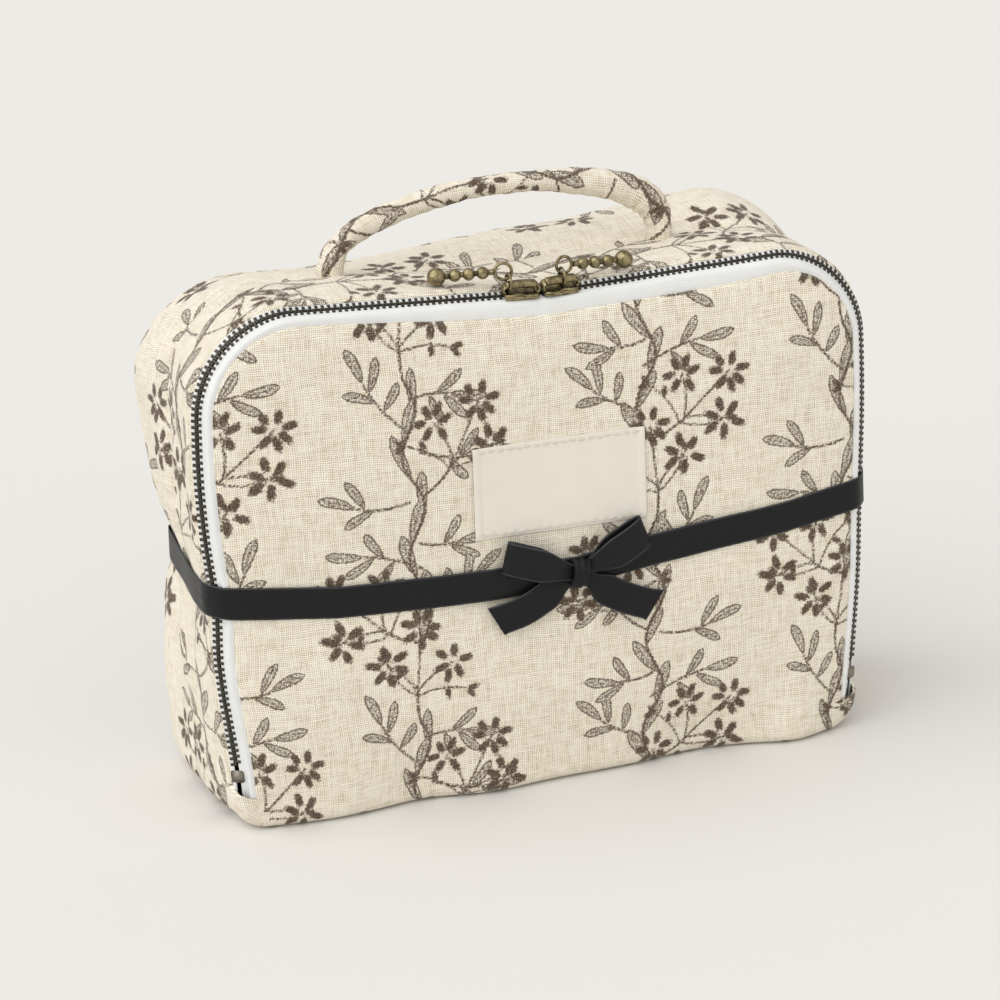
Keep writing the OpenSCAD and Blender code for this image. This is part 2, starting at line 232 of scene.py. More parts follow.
def settle(p):
    """Moves points of the shell and the flap as the filled bag leans, sags and bulges."""
    x, y, z = np.moveaxis(p, -1, 0)
    side = smooth(np.abs(x), 70, 126) * np.sign(x)
    left = (x < 0) * 1.0
    front = smooth(-y, 5, 40)
    rear = smooth(y, -5, 36)
    # The front tapers towards its foot and swells at mid height.
    taper = smooth(-z, -75, -5)
    dx = -side * front * taper * (5.0 * left + 4.0 * (1 - left))
    dx = dx + side * front * hump(z, 135, 38) * (2.2 * left + 1.4 * (1 - left))
    dx = dx + side * rear * (4.4 * hump(z, 158, 34) * left + 1.0 * hump(z, 20, 30))
    # The ribbon draws the left side in, more towards the back.
    dent = hump(z, 88 + 3 * rear, 15) * smooth(-x, 95, 126)
    dx = dx + dent * (1.2 + 3.4 * rear + 1.0 * smooth(y, -30, -10))
    # Loose folds on the sides, below and above the ribbon.
    loose = smooth(np.abs(x), 110, 128) * smooth(z, 6, 40) * smooth(-z, -165, -130)
    loose = loose * (1 - 0.8 * hump(z, 90, 13))
    fold = np.sin((y - 0.12 * (z - 80)) * 2 * math.pi / 27) * 1.1 + ripple(y, z, 55, 3) * 1.0
    dx = dx + side * loose * fold * smooth(y, -34, -14) * smooth(-y, -42, -30)
    # The top: low at the rear left, perked up at the rear right, soft between the seams.
    top = smooth(z, 120, 188)
    perk = 2.0 + np.abs(x) / 92 - 8.0 * smooth(-x, -20, 85)
    perk = perk + 2.0 * hump(x, 5, 30) + 5.0 * smooth(x, 15, 95)
    dz = top * rear * perk
    between = smooth(y, GUSSET_Y, -12) * smooth(-y, -40, -20) * smooth(-np.abs(x), -112, -92)
    swell = 0.9 * np.abs(np.sin((y - SEAM_Y) * math.pi / 38))
    dz = dz + top * between * (swell + ripple(x, y, 48, 5) * 0.8)
    # The front's lower edge wanders on the table.
    low = smooth(-z, -34, -2) * smooth(-y, 10, 38)
    dy = low * sum(amount * hump(x, at, width) for amount, at, width in FOOT_WANDER)
    # The corners at the foot are rounded off.
    corner = smooth(np.abs(x), 100, 130) * smooth(-z, -26, 0)
    dy = dy + corner * front * 2.5 - corner * rear * 2.0
    # The sides of the back bow out a little.
    dy = dy + rear * smooth(y, 20, 42) * 1.2 * hump(z, 95, 60) * smooth(-np.abs(x), -125, -60)
    return xyz(x + dx, y + dy, np.maximum(z + dz, np.minimum(z, 0.0)))


def front_puff(x, z):
    """How far the padded front stands out of its seam plane."""
    inside = edge_distance(x, z, 9)
    lift = 3.0 * (1 - np.exp(-np.maximum(inside, 0) / 14)) * smooth(z, 2, 40)
    lift = lift + 0.9 * ripple(x, z, 85, 2) * smooth(inside, 4, 30) * smooth(z, 10, 40)
    pucker = np.exp(-np.maximum(inside, 0) / 6.0)
    around = np.where(np.abs(x) > CORNER_X, z, x)
    lift = lift + 0.35 * pucker * np.sin(around * 2 * math.pi / 9 + 2 * np.sin(around / 17))
    ribbon_press = hump(z, ribbon_height(x), 11) * 0.9
    return lift - ribbon_press * smooth(inside, -6, 8)


RIBBON_X = [-130, -84, -48, -25, 8, 38, 62, 94, 130]
RIBBON_Z = [91.5, 86, 84.6, 84, 84.2, 88.3, 90.6, 93.4, 98]


def ribbon_height(x):
    """Height of the ribbon's centre line on the front."""
    return np.interp(x, RIBBON_X, RIBBON_Z)


def on_front(x, z, out=0.0):
    """Points lying on the front's fabric, lifted off it by out."""
    return settle(xyz(x, FRONT_Y - front_puff(x, z) - out, z))


# ---- Meshes ----
def grid_faces(rows, columns, closed_rows=False, closed_columns=False, flip=False):
    index = np.arange(rows * columns).reshape(rows, columns)
    if closed_rows:
        index = np.vstack([index, index[:1]])
    if closed_columns:
        index = np.hstack([index, index[:, :1]])
    a, b, c, d = index[:-1, :-1], index[:-1, 1:], index[1:, 1:], index[1:, :-1]
    corners = [a, d, c, b] if flip else [a, b, c, d]
    return np.stack([k.ravel() for k in corners], axis=1)


def tube_faces(rings, around, flip=False):
    """Faces of a tube of rings of points, closed at both ends."""
    last = (rings - 1) * around
    ends = [list(range(around))[::-1], [last + k for k in range(around)]]
    if flip:
        ends = [end[::-1] for end in ends]
    return grid_faces(rings, around, closed_columns=True, flip=flip).tolist() + ends


def slab_faces(rows, columns):
    """Faces of a slab: a grid of points, a second one behind it, and the edge between them."""
    count = rows * columns
    faces = grid_faces(rows, columns).tolist() + (grid_faces(rows, columns, flip=True) + count).tolist()
    rim = list(range(columns)) + [r * columns + columns - 1 for r in range(1, rows)]
    rim += [(rows - 1) * columns + c for c in range(columns - 2, -1, -1)]
    rim += [r * columns for r in range(rows - 2, 0, -1)]
    return faces + [[b, a, a + count, b + count] for a, b in zip(rim, rim[1:] + rim[:1])]


def joined(parts):
    """One list of points and one of faces from several."""
    points, faces, start = [], [], 0
    for part_points, part_faces in parts:
        part_points = np.reshape(part_points, (-1, 3))
        points.append(part_points)
        faces += [[i + start for i in f] for f in part_faces]
        start += len(part_points)
    return np.vstack(points), faces


def taken(bm):
    """Points and faces of a bmesh, which is freed."""
    bm.verts.index_update()
    points = np.array([v.co for v in bm.verts])
    faces = [[v.index for v in f.verts] for f in bm.faces]
    bm.free()
    return points, faces


def add_mesh(name, points, faces, material, body=None, fields=None):
    """A smooth mesh from points in millimetres; fields are per-point attributes."""
    mesh = bpy.data.meshes.new(name)
    mesh.from_pydata((np.asarray(points).reshape(-1, 3) * MM).tolist(), [], [list(f) for f in faces])
    mesh.validate()
    for key, values in (fields or {}).items():
        values = np.asarray(values, np.float32)
        wide = values.ndim > 1 and values.shape[-1] == 3
        layer = mesh.attributes.new(key, "FLOAT_VECTOR" if wide else "FLOAT", "POINT")
        layer.data.foreach_set("vector" if wide else "value", values.reshape(-1))
    mesh.materials.append(material)
    mesh.polygons.foreach_set("use_smooth", [True] * len(mesh.polygons))
    mesh.update()
    piece = bpy.data.objects.new(name, mesh)
    bpy.context.scene.collection.objects.link(piece)
    if body:
        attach(piece, body)
    return piece


def cloth_field(u, v):
    """Thread coordinates, in millimetres."""
    return xyz(u, v, 0.0)


def coons(bottom, right, top, left):
    """A grid of points that fills four boundary lines."""
    u = np.linspace(0, 1, len(bottom))[None, :, None]
    v = np.linspace(0, 1, len(left))[:, None, None]
    across = (1 - v) * bottom[None] + v * top[None]
    upward = (1 - u) * left[:, None] + u * right[:, None]
    corners = (1 - u) * (1 - v) * bottom[0] + u * (1 - v) * bottom[-1]
    corners = corners + (1 - u) * v * top[0] + u * v * top[-1]
    return across + upward - corners


def thin_rings(middle, outward, half):
    """Rings round a thin sheet: its outer face, then its inner face backwards."""
    return np.concatenate([middle + outward * half, (middle - outward * half)[:, ::-1]], axis=1)


def tube(path, radii_side, radii_up, side, around):
    """Points and faces of a tube along path, with elliptical sections."""
    ahead = unit(np.gradient(path, axis=0))
    side = unit(side - (side * ahead).sum(-1, keepdims=True) * ahead)
    up = np.cross(ahead, side)
    a = np.linspace(0, 2 * math.pi, around, endpoint=False)
    ring = (
        path[:, None]
        + side[:, None] * (np.cos(a)[None, :, None] * np.reshape(radii_side, (-1, 1, 1)))
        + up[:, None] * (np.sin(a)[None, :, None] * np.reshape(radii_up, (-1, 1, 1)))
    )
    return ring, tube_faces(len(path), around)


def strip(centre, across, half_width, cup, thickness=0.32, columns=13):
    """A closed flat strip along centre; across is its width direction, cup hollows it."""
    ahead = unit(np.gradient(centre, axis=0))
    across = unit(across - (across * ahead).sum(-1, keepdims=True) * ahead)
    face = np.cross(ahead, across)
    t = np.linspace(-1, 1, columns)
    mid = centre[:, None] + across[:, None] * (t[None, :, None] * half_width[:, None, None])
    mid = mid + face[:, None] * (cup[:, None, None] * (t**2)[None, :, None])
    cloth = cloth_field(run_length(centre)[:, None], there_and_back(t)[None, :] * 6)
    return thin_rings(mid, face[:, None], thickness / 2), tube_faces(len(centre), 2 * columns), cloth


# ---- The print: a vine of six- and seven-petal flowers, buds and long leaves ----
TILE = np.array([172.0, 130.0])
BLUNT = 2.6


class Print:
    """Distances to a repeating drawing: solid strokes and petals, and shaded leaves."""

    def __init__(self, u, v):
        self.p = np.stack(np.broadcast_arrays(u, v), axis=-1).reshape(-1, 2)
        self.solid = np.full(len(self.p), 9.0)
        self.leaf = np.full(len(self.p), 9.0)

    def from_point(self, centre):
        """Every point as seen from the nearest repeat of centre."""
        return (self.p - centre + TILE / 2) % TILE - TILE / 2

    def turned_from(self, centre, angle):
        """The same, along and across a direction."""
        q, c, s = self.from_point(centre), math.cos(angle), math.sin(angle)
        return q[:, 0] * c + q[:, 1] * s, q[:, 1] * c - q[:, 0] * s

    def oval(self, centre, angle, length, width):
        """A petal with blunt ends."""
        a, b = self.turned_from(centre, angle)
        reach = np.abs(a / (length / 2)) ** BLUNT + np.abs(b / (width / 2)) ** BLUNT
        self.solid = np.minimum(self.solid, (reach ** (1 / BLUNT) - 1) * width / 2)

    def blade(self, base, angle, length, width, bend=0.0):
        """A pointed leaf that grows from base, with its midrib."""
        centre = np.array(base) + np.array([math.cos(angle), math.sin(angle)]) * length / 2
        a, b = self.turned_from(centre, angle)
        r = a / (length / 2)
        b = b - bend * (1 - r**2)
        outline = width / 2 * (1 - np.minimum(np.abs(r) ** 3, 1.0)) * (0.82 + 0.25 * r)
        d = np.maximum(np.abs(b) - outline, np.abs(a) - length / 2)
        self.leaf = np.minimum(self.leaf, d)
        rib = np.maximum(np.abs(b) - 0.16, np.abs(a) - length * 0.34)
        self.solid = np.minimum(self.solid, rib)

    def stroke(self, points, radius):
        for a, b in zip(points[:-1], points[1:]):
            middle, half = (a + b) / 2, (b - a) / 2
            q = self.from_point(middle)
            t = np.clip(q @ half / max(half @ half, 1e-9), -1, 1)
            gap = np.linalg.norm(q - t[:, None] * half, axis=1)
            self.solid = np.minimum(self.solid, gap - radius)


def turned(start, heading, length, bend, count=7):
    """Points of a stem that leaves start at heading and turns by bend degrees."""
    headings = np.radians(heading + bend * np.linspace(0, 1, count))
    steps = np.stack([np.cos(headings), np.sin(headings)], axis=1) * length / (count - 1)
    return np.vstack([[start], start + np.cumsum(steps[:-1], axis=0)])


def draw_flower(paper, centre, petals, turn, size):
    for k in range(petals):
        angle = turn + 2 * math.pi * k / petals + 0.16 * math.sin(5 * k + turn)
        reach = size * (0.76 + 0.06 * math.sin(3 * k + turn))
        at = centre + np.array([math.cos(angle), math.sin(angle)]) * reach
        length = size * (0.76 + 0.10 * math.sin(7 * k))
        paper.oval(at, angle + 0.2 * math.sin(4 * k), length, size * 0.42)


def draw_spray(paper, start, heading, length, bend, leaves, side):
    """A stem with leaves in turn on both sides and one at its tip."""
    stem = turned(start, heading, length, bend)
    paper.stroke(stem, 0.40)
    tip = math.radians(heading + bend)
    paper.blade(stem[-1], tip, 15, 4.9, 0.6 * side)
    for k in range(leaves):
        at = stem[len(stem) - 2 - k]
        lean = math.radians(38 + 9 * k) * side * (-1 if k % 2 else 1)
        paper.blade(at, tip + lean, 14 - k, 4.5, 0.5 * side)


def draw_cluster(paper, start, heading, length, bend, side):
    """A stem that forks into three flowers and two buds."""
    stem = turned(start, heading, length, bend)
    paper.stroke(stem, 0.42)
    tip = heading + bend
    for k, (spread, reach, petals) in enumerate([(-62, 16, 6), (0, 24, 7), (64, 17, 6)]):
        twig = turned(stem[-1], tip + spread * side * 0.6, reach, spread * side * 0.5, 5)
        paper.stroke(twig, 0.34)
        draw_flower(paper, twig[-1], petals, 0.7 + k * 1.3 + side, 7.1 - 0.3 * k)
    for spread, reach in ((-84, 19), (98, 20)):
        heading = tip + spread * side * 0.7
        twig = turned(stem[-2], heading, reach, 40 * side, 6)
        paper.stroke(twig, 0.30)
        draw_buds(paper, twig, math.radians(heading + 40 * side))


def draw_buds(paper, twig, heading):
    for k, lean in ((-1, -0.5), (-1, 0.6), (-3, -1.1)):
        along = np.array([math.cos(heading + lean), math.sin(heading + lean)])
        paper.oval(twig[k] + along * 2.2, heading + lean, 4.0, 2.1)


def draw_trunk(paper, points):
    """A thin stem with long shaded patches laid end over end along it."""
    line = curve_through(points, 34)
    paper.stroke(line, 0.5)
    for k in range(1, len(line) - 4, 4):
        ahead = line[k + 3] - line[k]
        angle = math.atan2(ahead[1], ahead[0]) + 0.22 * math.sin(2.1 * k)
        paper.blade(line[k], angle, 18 + 2 * math.sin(k), 6.2 - 0.05 * k, 0.5)


# The vine: its trunk's points, then where each stem leaves it, its heading, length, bend and side.
TRUNK = [(4, -62), (-2, -44), (6, -26), (-1, -6), (7, 12), (1, 30), (5, 42)]
CLUSTERS = [(5, 42, 82, 11, 14, 1), (-1, -2, 150, 16, -34, -1), (3, -58, 12, 15, 30, 1)]
SPRAYS = [
    (4, 22, 40, 25, 26, 3, 1), (1, -30, 28, 23, -20, 3, -1), (-1, -46, 165, 20, -28, 3, -1),
    (3, 34, 168, 15, 22, 3, 1), (0, 14, 200, 22, -24, 3, 1), (5, -4, -14, 20, 34, 2, 1),
    (2, -20, 200, 14, -30, 2, 1),
]


def draw_vine(paper, origin, side):
    """One vine, 130 mm tall; side -1 mirrors it."""
    def at(x, y):
        return origin + np.array([x * side, y])

    def heading(angle):
        return angle if side > 0 else 180 - angle

    draw_trunk(paper, np.array([at(x, y) for x, y in TRUNK]))
    for x, y, angle, length, bend, lean in CLUSTERS:
        draw_cluster(paper, at(x, y), heading(angle), length, bend * side, lean * side)
    for x, y, angle, length, bend, leaves, lean in SPRAYS:
        draw_spray(paper, at(x, y), heading(angle), length, bend * side, leaves, lean * side)


def print_fields(u, v):
    """The cloth's fields: thread coordinates and the distances to its print."""
    paper = Print(u, v)
    draw_vine(paper, np.array([40.0, 62.0]), 1)
    draw_vine(paper, np.array([126.0, 127.0]), -1)
    return {"cloth": cloth_field(u, v), "ink_solid": paper.solid, "ink_leaf": paper.leaf}


# ---- Materials ----
# Where the mix node keeps its two colours and its result.
MIX_A, MIX_B, MIX_RESULT = 6, 7, 2


class Surface:
    """A material, with short calls for its nodes. Lengths in its textures are millimetres."""

    def __init__(self, name, **settings):
        self.material = bpy.data.materials.new(name)
        self.material.use_nodes = True
        self.tree = self.material.node_tree
        self.shader = self.tree.nodes["Principled BSDF"]
        for key, value in settings.items():
            self.shader.inputs[key.replace("_", " ")].default_value = value

    def add(self, kind, out=0, values=None, **links_or_props):
        made = self.tree.nodes.new(kind)
        for key, value in links_or_props.items():
            if isinstance(value, bpy.types.NodeSocket):
                self.tree.links.new(value, made.inputs[key.replace("_", " ")])
            else:
                setattr(made, key, value)
        for key, value in (values or {}).items():
            if isinstance(value, bpy.types.NodeSocket):
                self.tree.links.new(value, made.inputs[key])
            else:
                made.inputs[key].default_value = value
        return made.outputs[out]

    def math(self, operation, a, b=0.0, clamp=False):
        return self.add("ShaderNodeMath", operation=operation, use_clamp=clamp, values={0: a, 1: b})

    def plus(self, a, b, clamp=False):
        return self.math("ADD", a, b, clamp)

    def times(self, a, b, clamp=False):
        return self.math("MULTIPLY", a, b, clamp)

    def field(self, name, out="Vector"):
        return self.add("ShaderNodeAttribute", out=out, attribute_name=name)

    def split(self, vector):
        made = self.tree.nodes.new("ShaderNodeSeparateXYZ")
        self.tree.links.new(vector, made.inputs[0])
        return made.outputs

    def noise(self, vector, scale, detail=2.0, rough=0.5, out=0):
        return self.add(
            "ShaderNodeTexNoise", out=out,
            values={"Vector": vector, "Scale": scale, "Detail": detail, "Roughness": rough},
        )

    def vector(self, operation, a, b):
        return self.add("ShaderNodeVectorMath", operation=operation, values={0: a, 1: b})

    def ramp(self, value, low, high, start=0.0, end=1.0):
        return self.add(
            "ShaderNodeMapRange", interpolation_type="SMOOTHSTEP",
            values={"Value": value, "From Min": low, "From Max": high, "To Min": start, "To Max": end},
        )

    def mix(self, factor, a, b, how="MIX"):
        return self.add(
            "ShaderNodeMix", out=MIX_RESULT, data_type="RGBA", blend_type=how,
            values={0: factor, MIX_A: a, MIX_B: b},
        )

    def shade(self, colour, factor):
        """colour times a grey factor."""
        grey = self.add("ShaderNodeCombineColor", values={0: factor, 1: factor, 2: factor})
        return self.mix(1.0, colour, grey, "MULTIPLY")

    def wandering(self, vector, amount, scale):
        """Thread coordinates that wander by up to amount."""
        drift = self.noise(vector, scale, 1.0, out="Color")
        centred = self.vector("SUBTRACT", drift, (0.5, 0.5, 0.5))
        moved = self.vector("MULTIPLY", centred, (2 * amount, 2 * amount, 0.0))
        return self.vector("ADD", vector, moved)

    def thread(self, coordinate, pitch):
        """1 on the crest of a thread, 0 between two threads."""
        return self.math("ABSOLUTE", self.math("SINE", self.times(coordinate, math.pi / pitch)))

    def bump(self, height, distance_mm, strength=1.0, under=None):
        values = {"Height": height, "Distance": distance_mm * MM, "Strength": strength}
        if under is not None:
            values["Normal"] = under
        return self.add("ShaderNodeBump", values=values)

    def done(self, **sockets):
        """The finished material, with the given sockets on its shader."""
        for key, socket in sockets.items():
            self.tree.links.new(socket, self.shader.inputs[key.replace("_", " ")])
        return self.material


THREAD_PITCH = 0.75
CREAM = (0.920, 0.850, 0.700, 1), (0.945, 0.893, 0.772, 1)
# Painted light on the weave: a painted highlight for the threads' crests and painted shade for the gaps
# between them.
THREAD_CREST_HIGHLIGHT = (0.97, 0.94, 0.875, 1)
SHADE_BETWEEN_THREADS = (0.47, 0.375, 0.24, 1)
INK = (0.045, 0.021, 0.009, 1), (0.085, 0.045, 0.022, 1)


def gauze_material():
    """Crinkled double gauze in cream, printed in speckled brown."""
    s = Surface("gauze", Roughness=0.9, Sheen_Weight=0.20, Sheen_Roughness=0.4, Specular_IOR_Level=0.06)
    cloth = s.field("cloth")
    thread_at = s.wandering(s.wandering(cloth, 2.2, 0.035), 0.42, 0.32)
    uv = s.split(thread_at)
    warp, weft = s.thread(uv[0], THREAD_PITCH), s.thread(uv[1], THREAD_PITCH)
    # Each thread swells and thins on its own along its run.
    thick_warp, thick_weft = (
        s.ramp(s.noise(s.vector("MULTIPLY", thread_at, run), 1.0, 2.0), 0.30, 0.70, -0.20, 0.20)
        for run in ((1.0, 0.10, 1.0), (0.10, 1.0, 1.0))
    )
    warp, weft = s.plus(warp, thick_warp), s.plus(weft, thick_weft)
    cover = s.plus(s.times(s.math("MAXIMUM", warp, weft), 0.6), s.times(s.plus(warp, weft), 0.2))
    fuzz = s.noise(cloth, 1.6, 4.0, 0.7)
    # The gaps between threads, which get painted shade below.
    gap_shade = s.ramp(cover, 0.42, 0.90, 1.0, 0.0)
    patch = s.ramp(s.noise(cloth, 0.22, 4.0), 0.32, 0.68, 0.55, 0.95)
    tone = s.mix(s.noise(cloth, 0.03, 3.0), *CREAM)
    # A painted highlight on the threads' crests, then painted shade, in patches, in the gaps between them.
    tone = s.mix(s.ramp(cover, 0.85, 1.20, 0.0, 0.9), tone, THREAD_CREST_HIGHLIGHT)
    tone = s.mix(s.times(gap_shade, patch), tone, SHADE_BETWEEN_THREADS)
    tone = s.shade(tone, s.ramp(fuzz, 0.25, 0.75, 0.93, 1.04))
    # The print: solid strokes broken by the threads, leaves with a loose outline and speckled inside.
    grain = s.noise(thread_at, 1.0, 3.0, 0.7)
    ragged = s.times(s.math("SUBTRACT", grain, 0.5), 2.6)
    stepped = s.times(s.math("SUBTRACT", s.math("MAXIMUM", warp, weft), 0.8), -0.5)
    edge_shift = s.plus(ragged, stepped)
    solid = s.ramp(s.plus(s.field("ink_solid", "Fac"), edge_shift), -0.22, 0.38, 1.0, 0.0)
    leaf = s.plus(s.field("ink_leaf", "Fac"), s.times(edge_shift, 0.7))
    outline = s.ramp(s.math("ABSOLUTE", s.plus(leaf, 0.35)), 0.12, 0.50, 0.95, 0.0)
    hatch = s.noise(s.wandering(cloth, 1.2, 0.4), 1.15, 3.0, 0.8)
    inside = s.times(s.ramp(leaf, -0.6, 0.1, 1.0, 0.0), s.ramp(hatch, 0.44, 0.58, 0.10, 0.92))
    ink = s.math("MAXIMUM", solid, s.math("MAXIMUM", outline, inside))
    ink = s.times(ink, s.ramp(cover, 0.45, 1.05, 1.0, 0.90))
    faded = s.ramp(s.noise(cloth, 1.3, 3.0, 0.75), 0.32, 0.50, 0.70, 1.0)
    ink = s.times(ink, faded, clamp=True)
    colour = s.mix(ink, tone, s.mix(s.noise(cloth, 0.25, 2.0), *INK))
    height = s.plus(cover, s.times(fuzz, 0.8))
    crinkle = s.bump(s.noise(cloth, 0.11, 3.0), 0.9, 0.5)
    return s.done(Base_Color=colour, Normal=s.bump(height, 0.22, 0.9, crinkle))


def woven_material(name, colour, pale, pitch, slant, depth, roughness, sheen):
    """A fine cloth from colour to pale; slant is 0 for a plain weave and 1 for a twill."""
    s = Surface(name, Roughness=roughness, Sheen_Weight=sheen)
    uv = s.split(s.wandering(s.field("cloth"), 0.15, 0.3))
    rib = s.thread(s.plus(uv[0], s.times(uv[1], float(slant))), pitch)
    cross = s.thread(uv[1], pitch)
    height = s.plus(rib, s.times(cross, 0.5))
    cloudy = s.noise(s.field("cloth"), 0.12, 3.0)
    tone = s.mix(cloudy, (*colour, 1), (*pale, 1))
    # Painted shade in the grooves between the ribs and a painted highlight on their crests.
    tone = s.shade(tone, s.ramp(rib, 0.0, 1.0, 0.90, 1.02))
    crease = s.bump(s.noise(s.field("cloth"), 0.07, 3.0), 0.7, 0.4)
    return s.done(Base_Color=tone, Normal=s.bump(height, depth, 0.7, crease))


def ribbon_material():
    s = Surface("ribbon_satin", Specular_IOR_Level=0.22)
    cloth = s.field("cloth")
    uv = s.split(cloth)
    rib = s.thread(uv[0], 0.35)
    edge = s.ramp(s.math("ABSOLUTE", uv[1]), 5.35, 5.6)
    streak = s.noise(s.vector("MULTIPLY", cloth, (0.04, 1.0, 1.0)), 1.2, 3.0)
    tone = s.mix(streak, (0.0055, 0.0055, 0.006, 1), (0.010, 0.010, 0.011, 1))
    tone = s.mix(edge, tone, (0.045, 0.045, 0.048, 1))
    height = s.plus(s.times(rib, 0.5), edge)
    rough = s.ramp(streak, 0.3, 0.7, 0.40, 0.50)
    return s.done(Base_Color=tone, Normal=s.bump(height, 0.05, 0.5), Roughness=rough)


def metal_material(name, dark, bright, rough_low, rough_high):
    """Plated metal: bright where rubbed, darkened where the ambient occlusion node finds close surfaces."""
    s = Surface(name, Metallic=1.0)
    where = s.add("ShaderNodeTexCoord", out="Object")
    grime = s.noise(where, 420.0, 4.0, 0.65)
    worn = s.ramp(s.add("ShaderNodeNewGeometry", out="Pointiness"), 0.47, 0.56)
    # Darker where the ambient occlusion node finds close surfaces.
    unoccluded = s.add("ShaderNodeAmbientOcclusion", out="AO", samples=6, values={"Distance": 0.9 * MM})
    rubbed = s.times(s.plus(worn, s.ramp(grime, 0.35, 0.65)), 0.62, clamp=True)
    mask = s.times(rubbed, s.ramp(unoccluded, 0.45, 0.95))
    tone = s.mix(mask, dark, bright)
    rough = s.ramp(s.noise(where, 900.0, 3.0), 0.3, 0.7, rough_low, rough_high)
    grit = s.bump(s.noise(where, 1500.0, 3.0), 0.05, 0.4)
    return s.done(Base_Color=tone, Normal=grit, Roughness=rough)


def floor_material():
    s = Surface("floor", Roughness=0.85, Specular_IOR_Level=0.2)
    where = s.add("ShaderNodeTexCoord", out="Object")
    tone = s.mix(s.noise(where, 1.5, 2.0), (0.758, 0.745, 0.718, 1), (0.768, 0.755, 0.728, 1))
    return s.done(Base_Color=tone)


GAUZE = gauze_material()
LINING, BINDING, TAPE, LABEL, THREAD = (woven_material(*settings) for settings in (
    ("lining", (0.80, 0.76, 0.67), (0.86, 0.82, 0.74), 0.5, 0, 0.06, 0.85, 0.15),
    ("binding", (0.78, 0.73, 0.62), (0.84, 0.80, 0.70), 0.7, 0, 0.10, 0.85, 0.15),
    ("zip_tape", (0.80, 0.81, 0.80), (0.88, 0.89, 0.88), 0.9, 1, 0.16, 0.75, 0.1),
    ("label_satin", (0.78, 0.73, 0.63), (0.83, 0.79, 0.70), 0.3, 0, 0.03, 0.42, 0.3),
    ("label_thread", (0.72, 0.66, 0.55), (0.80, 0.75, 0.64), 0.3, 1, 0.06, 0.6, 0.2),
))
RIBBON = ribbon_material()
BRASS, GUNMETAL, STOP_METAL = (metal_material(*settings) for settings in (
    ("old_brass", (0.040, 0.031, 0.015, 1), (0.36, 0.30, 0.165, 1), 0.24, 0.42),
    ("zip_metal", (0.016, 0.015, 0.012, 1), (0.085, 0.08, 0.066, 1), 0.30, 0.50),
    ("stop_metal", (0.13, 0.115, 0.095, 1), (0.30, 0.27, 0.23, 1), 0.40, 0.55),
))


# ---- The camera, the light and the floor ----
def place(name, data, right, up, back, at=(0, 0, 0)):
    """An object at a point in millimetres that looks against back."""
    matrix = np.eye(4)
    matrix[:3, 0], matrix[:3, 1], matrix[:3, 2] = right, up, back
    matrix[:3, 3] = np.array(at) * MM
    holder = bpy.data.objects.new(name, data)
    holder.matrix_world = Matrix(matrix.tolist())
    bpy.context.scene.collection.objects.link(holder)
    return holder


def make_camera():
    azimuth, elevation, roll = (math.radians(a) for a in (-18.53, 18.03, -2.24))
    distance, target = 1068.0, np.array([-5.3, 0.0, 100.4])
    level = math.cos(elevation)
    back = np.array([math.sin(azimuth) * level, -math.cos(azimuth) * level, math.sin(elevation)])
    right = unit(np.cross(-back, [0, 0, 1]))
    up = np.cross(right, -back)
    across = math.cos(roll) * right + math.sin(roll) * up
    upward = -math.sin(roll) * right + math.cos(roll) * up
    camera = bpy.data.cameras.new("camera")
    camera.sensor_width = 36.0
    camera.lens = 100.8
    camera.clip_start = 0.05
    camera.clip_end = 50.0
    camera.dof.use_dof = False
    bpy.context.scene.camera = place("camera", camera, across, upward, back, target + back * distance)


def add_sun(name, towards, spread, strength, colour):
    """Even light from the direction towards, soft over spread degrees."""
    lamp = bpy.data.lights.new(name, "SUN")
    lamp.angle = math.radians(spread)
    lamp.energy = strength
    lamp.color = colour
    back = unit(np.array(towards, float))
    right = unit(np.cross([0, 0, 1], back))
    place(name, lamp, right, np.cross(back, right), back)


def make_stage():
    half, low = 9000.0, -0.3
    corners = [[-half, -half, low], [half, -half, low], [half, half, low], [-half, half, low]]
    floor = add_mesh("floor", corners, [[0, 1, 2, 3]], floor_material())
    world = bpy.data.worlds.new("world")
    bpy.context.scene.world = world
    world.use_nodes = True
    sky = world.node_tree.nodes["Background"]
    sky.inputs["Color"].default_value = (1.0, 0.985, 0.965, 1)
    sky.inputs["Strength"].default_value = 0.665
    add_sun("key", (-1.1, -0.30, 1.20), 76, 1.68, (0.99, 0.99, 1.0))
    add_sun("front_fill", (0.2, -1.0, 0.7), 70, 0.40, (1.0, 0.975, 0.93))
    bpy.context.scene.view_settings.view_transform = "Standard"


# ---- The printed gauze skins ----
def seam_inset(x, z):
    """How far inside the outline the front's seam runs: wider over the top than down the sides."""
    return 10.0 - 2.3 * smooth(np.abs(x), 60, 118) - 2.0 * hump(x, -72, 34) * smooth(z, 120, 170)


FRONT_CELL = 0.75
SIDE_CELL = 0.95


def seam_line(offset=0.0):
    """The front's seam from its left foot, over the top, to its right foot, in x and z."""
    s = np.linspace(s_at_height(BOTTOM_R), RIM_LENGTH - s_at_height(BOTTOM_R), 900)
    raw = rim_at(s, 0.0)
    line = rim_at(s, seam_inset(raw[:, 0], raw[:, 1]) + offset)
    foot = [[-HALF_W + BOTTOM_R, -8.0]]
    return np.vstack([foot, line, [[HALF_W - BOTTOM_R, -8.0]]])


def wrap_under(v):
    """Depth behind the front's plane, and height, at distance v up from the base's tangent."""
    angle = np.clip(v / EDGE_R, 0, math.pi / 2)
    depth = EDGE_R * (1 - np.sin(angle)) - np.minimum(v, 0)
    height = EDGE_R * (1 - np.cos(angle)) + np.maximum(v - EDGE_R * math.pi / 2, 0)
    return depth, height


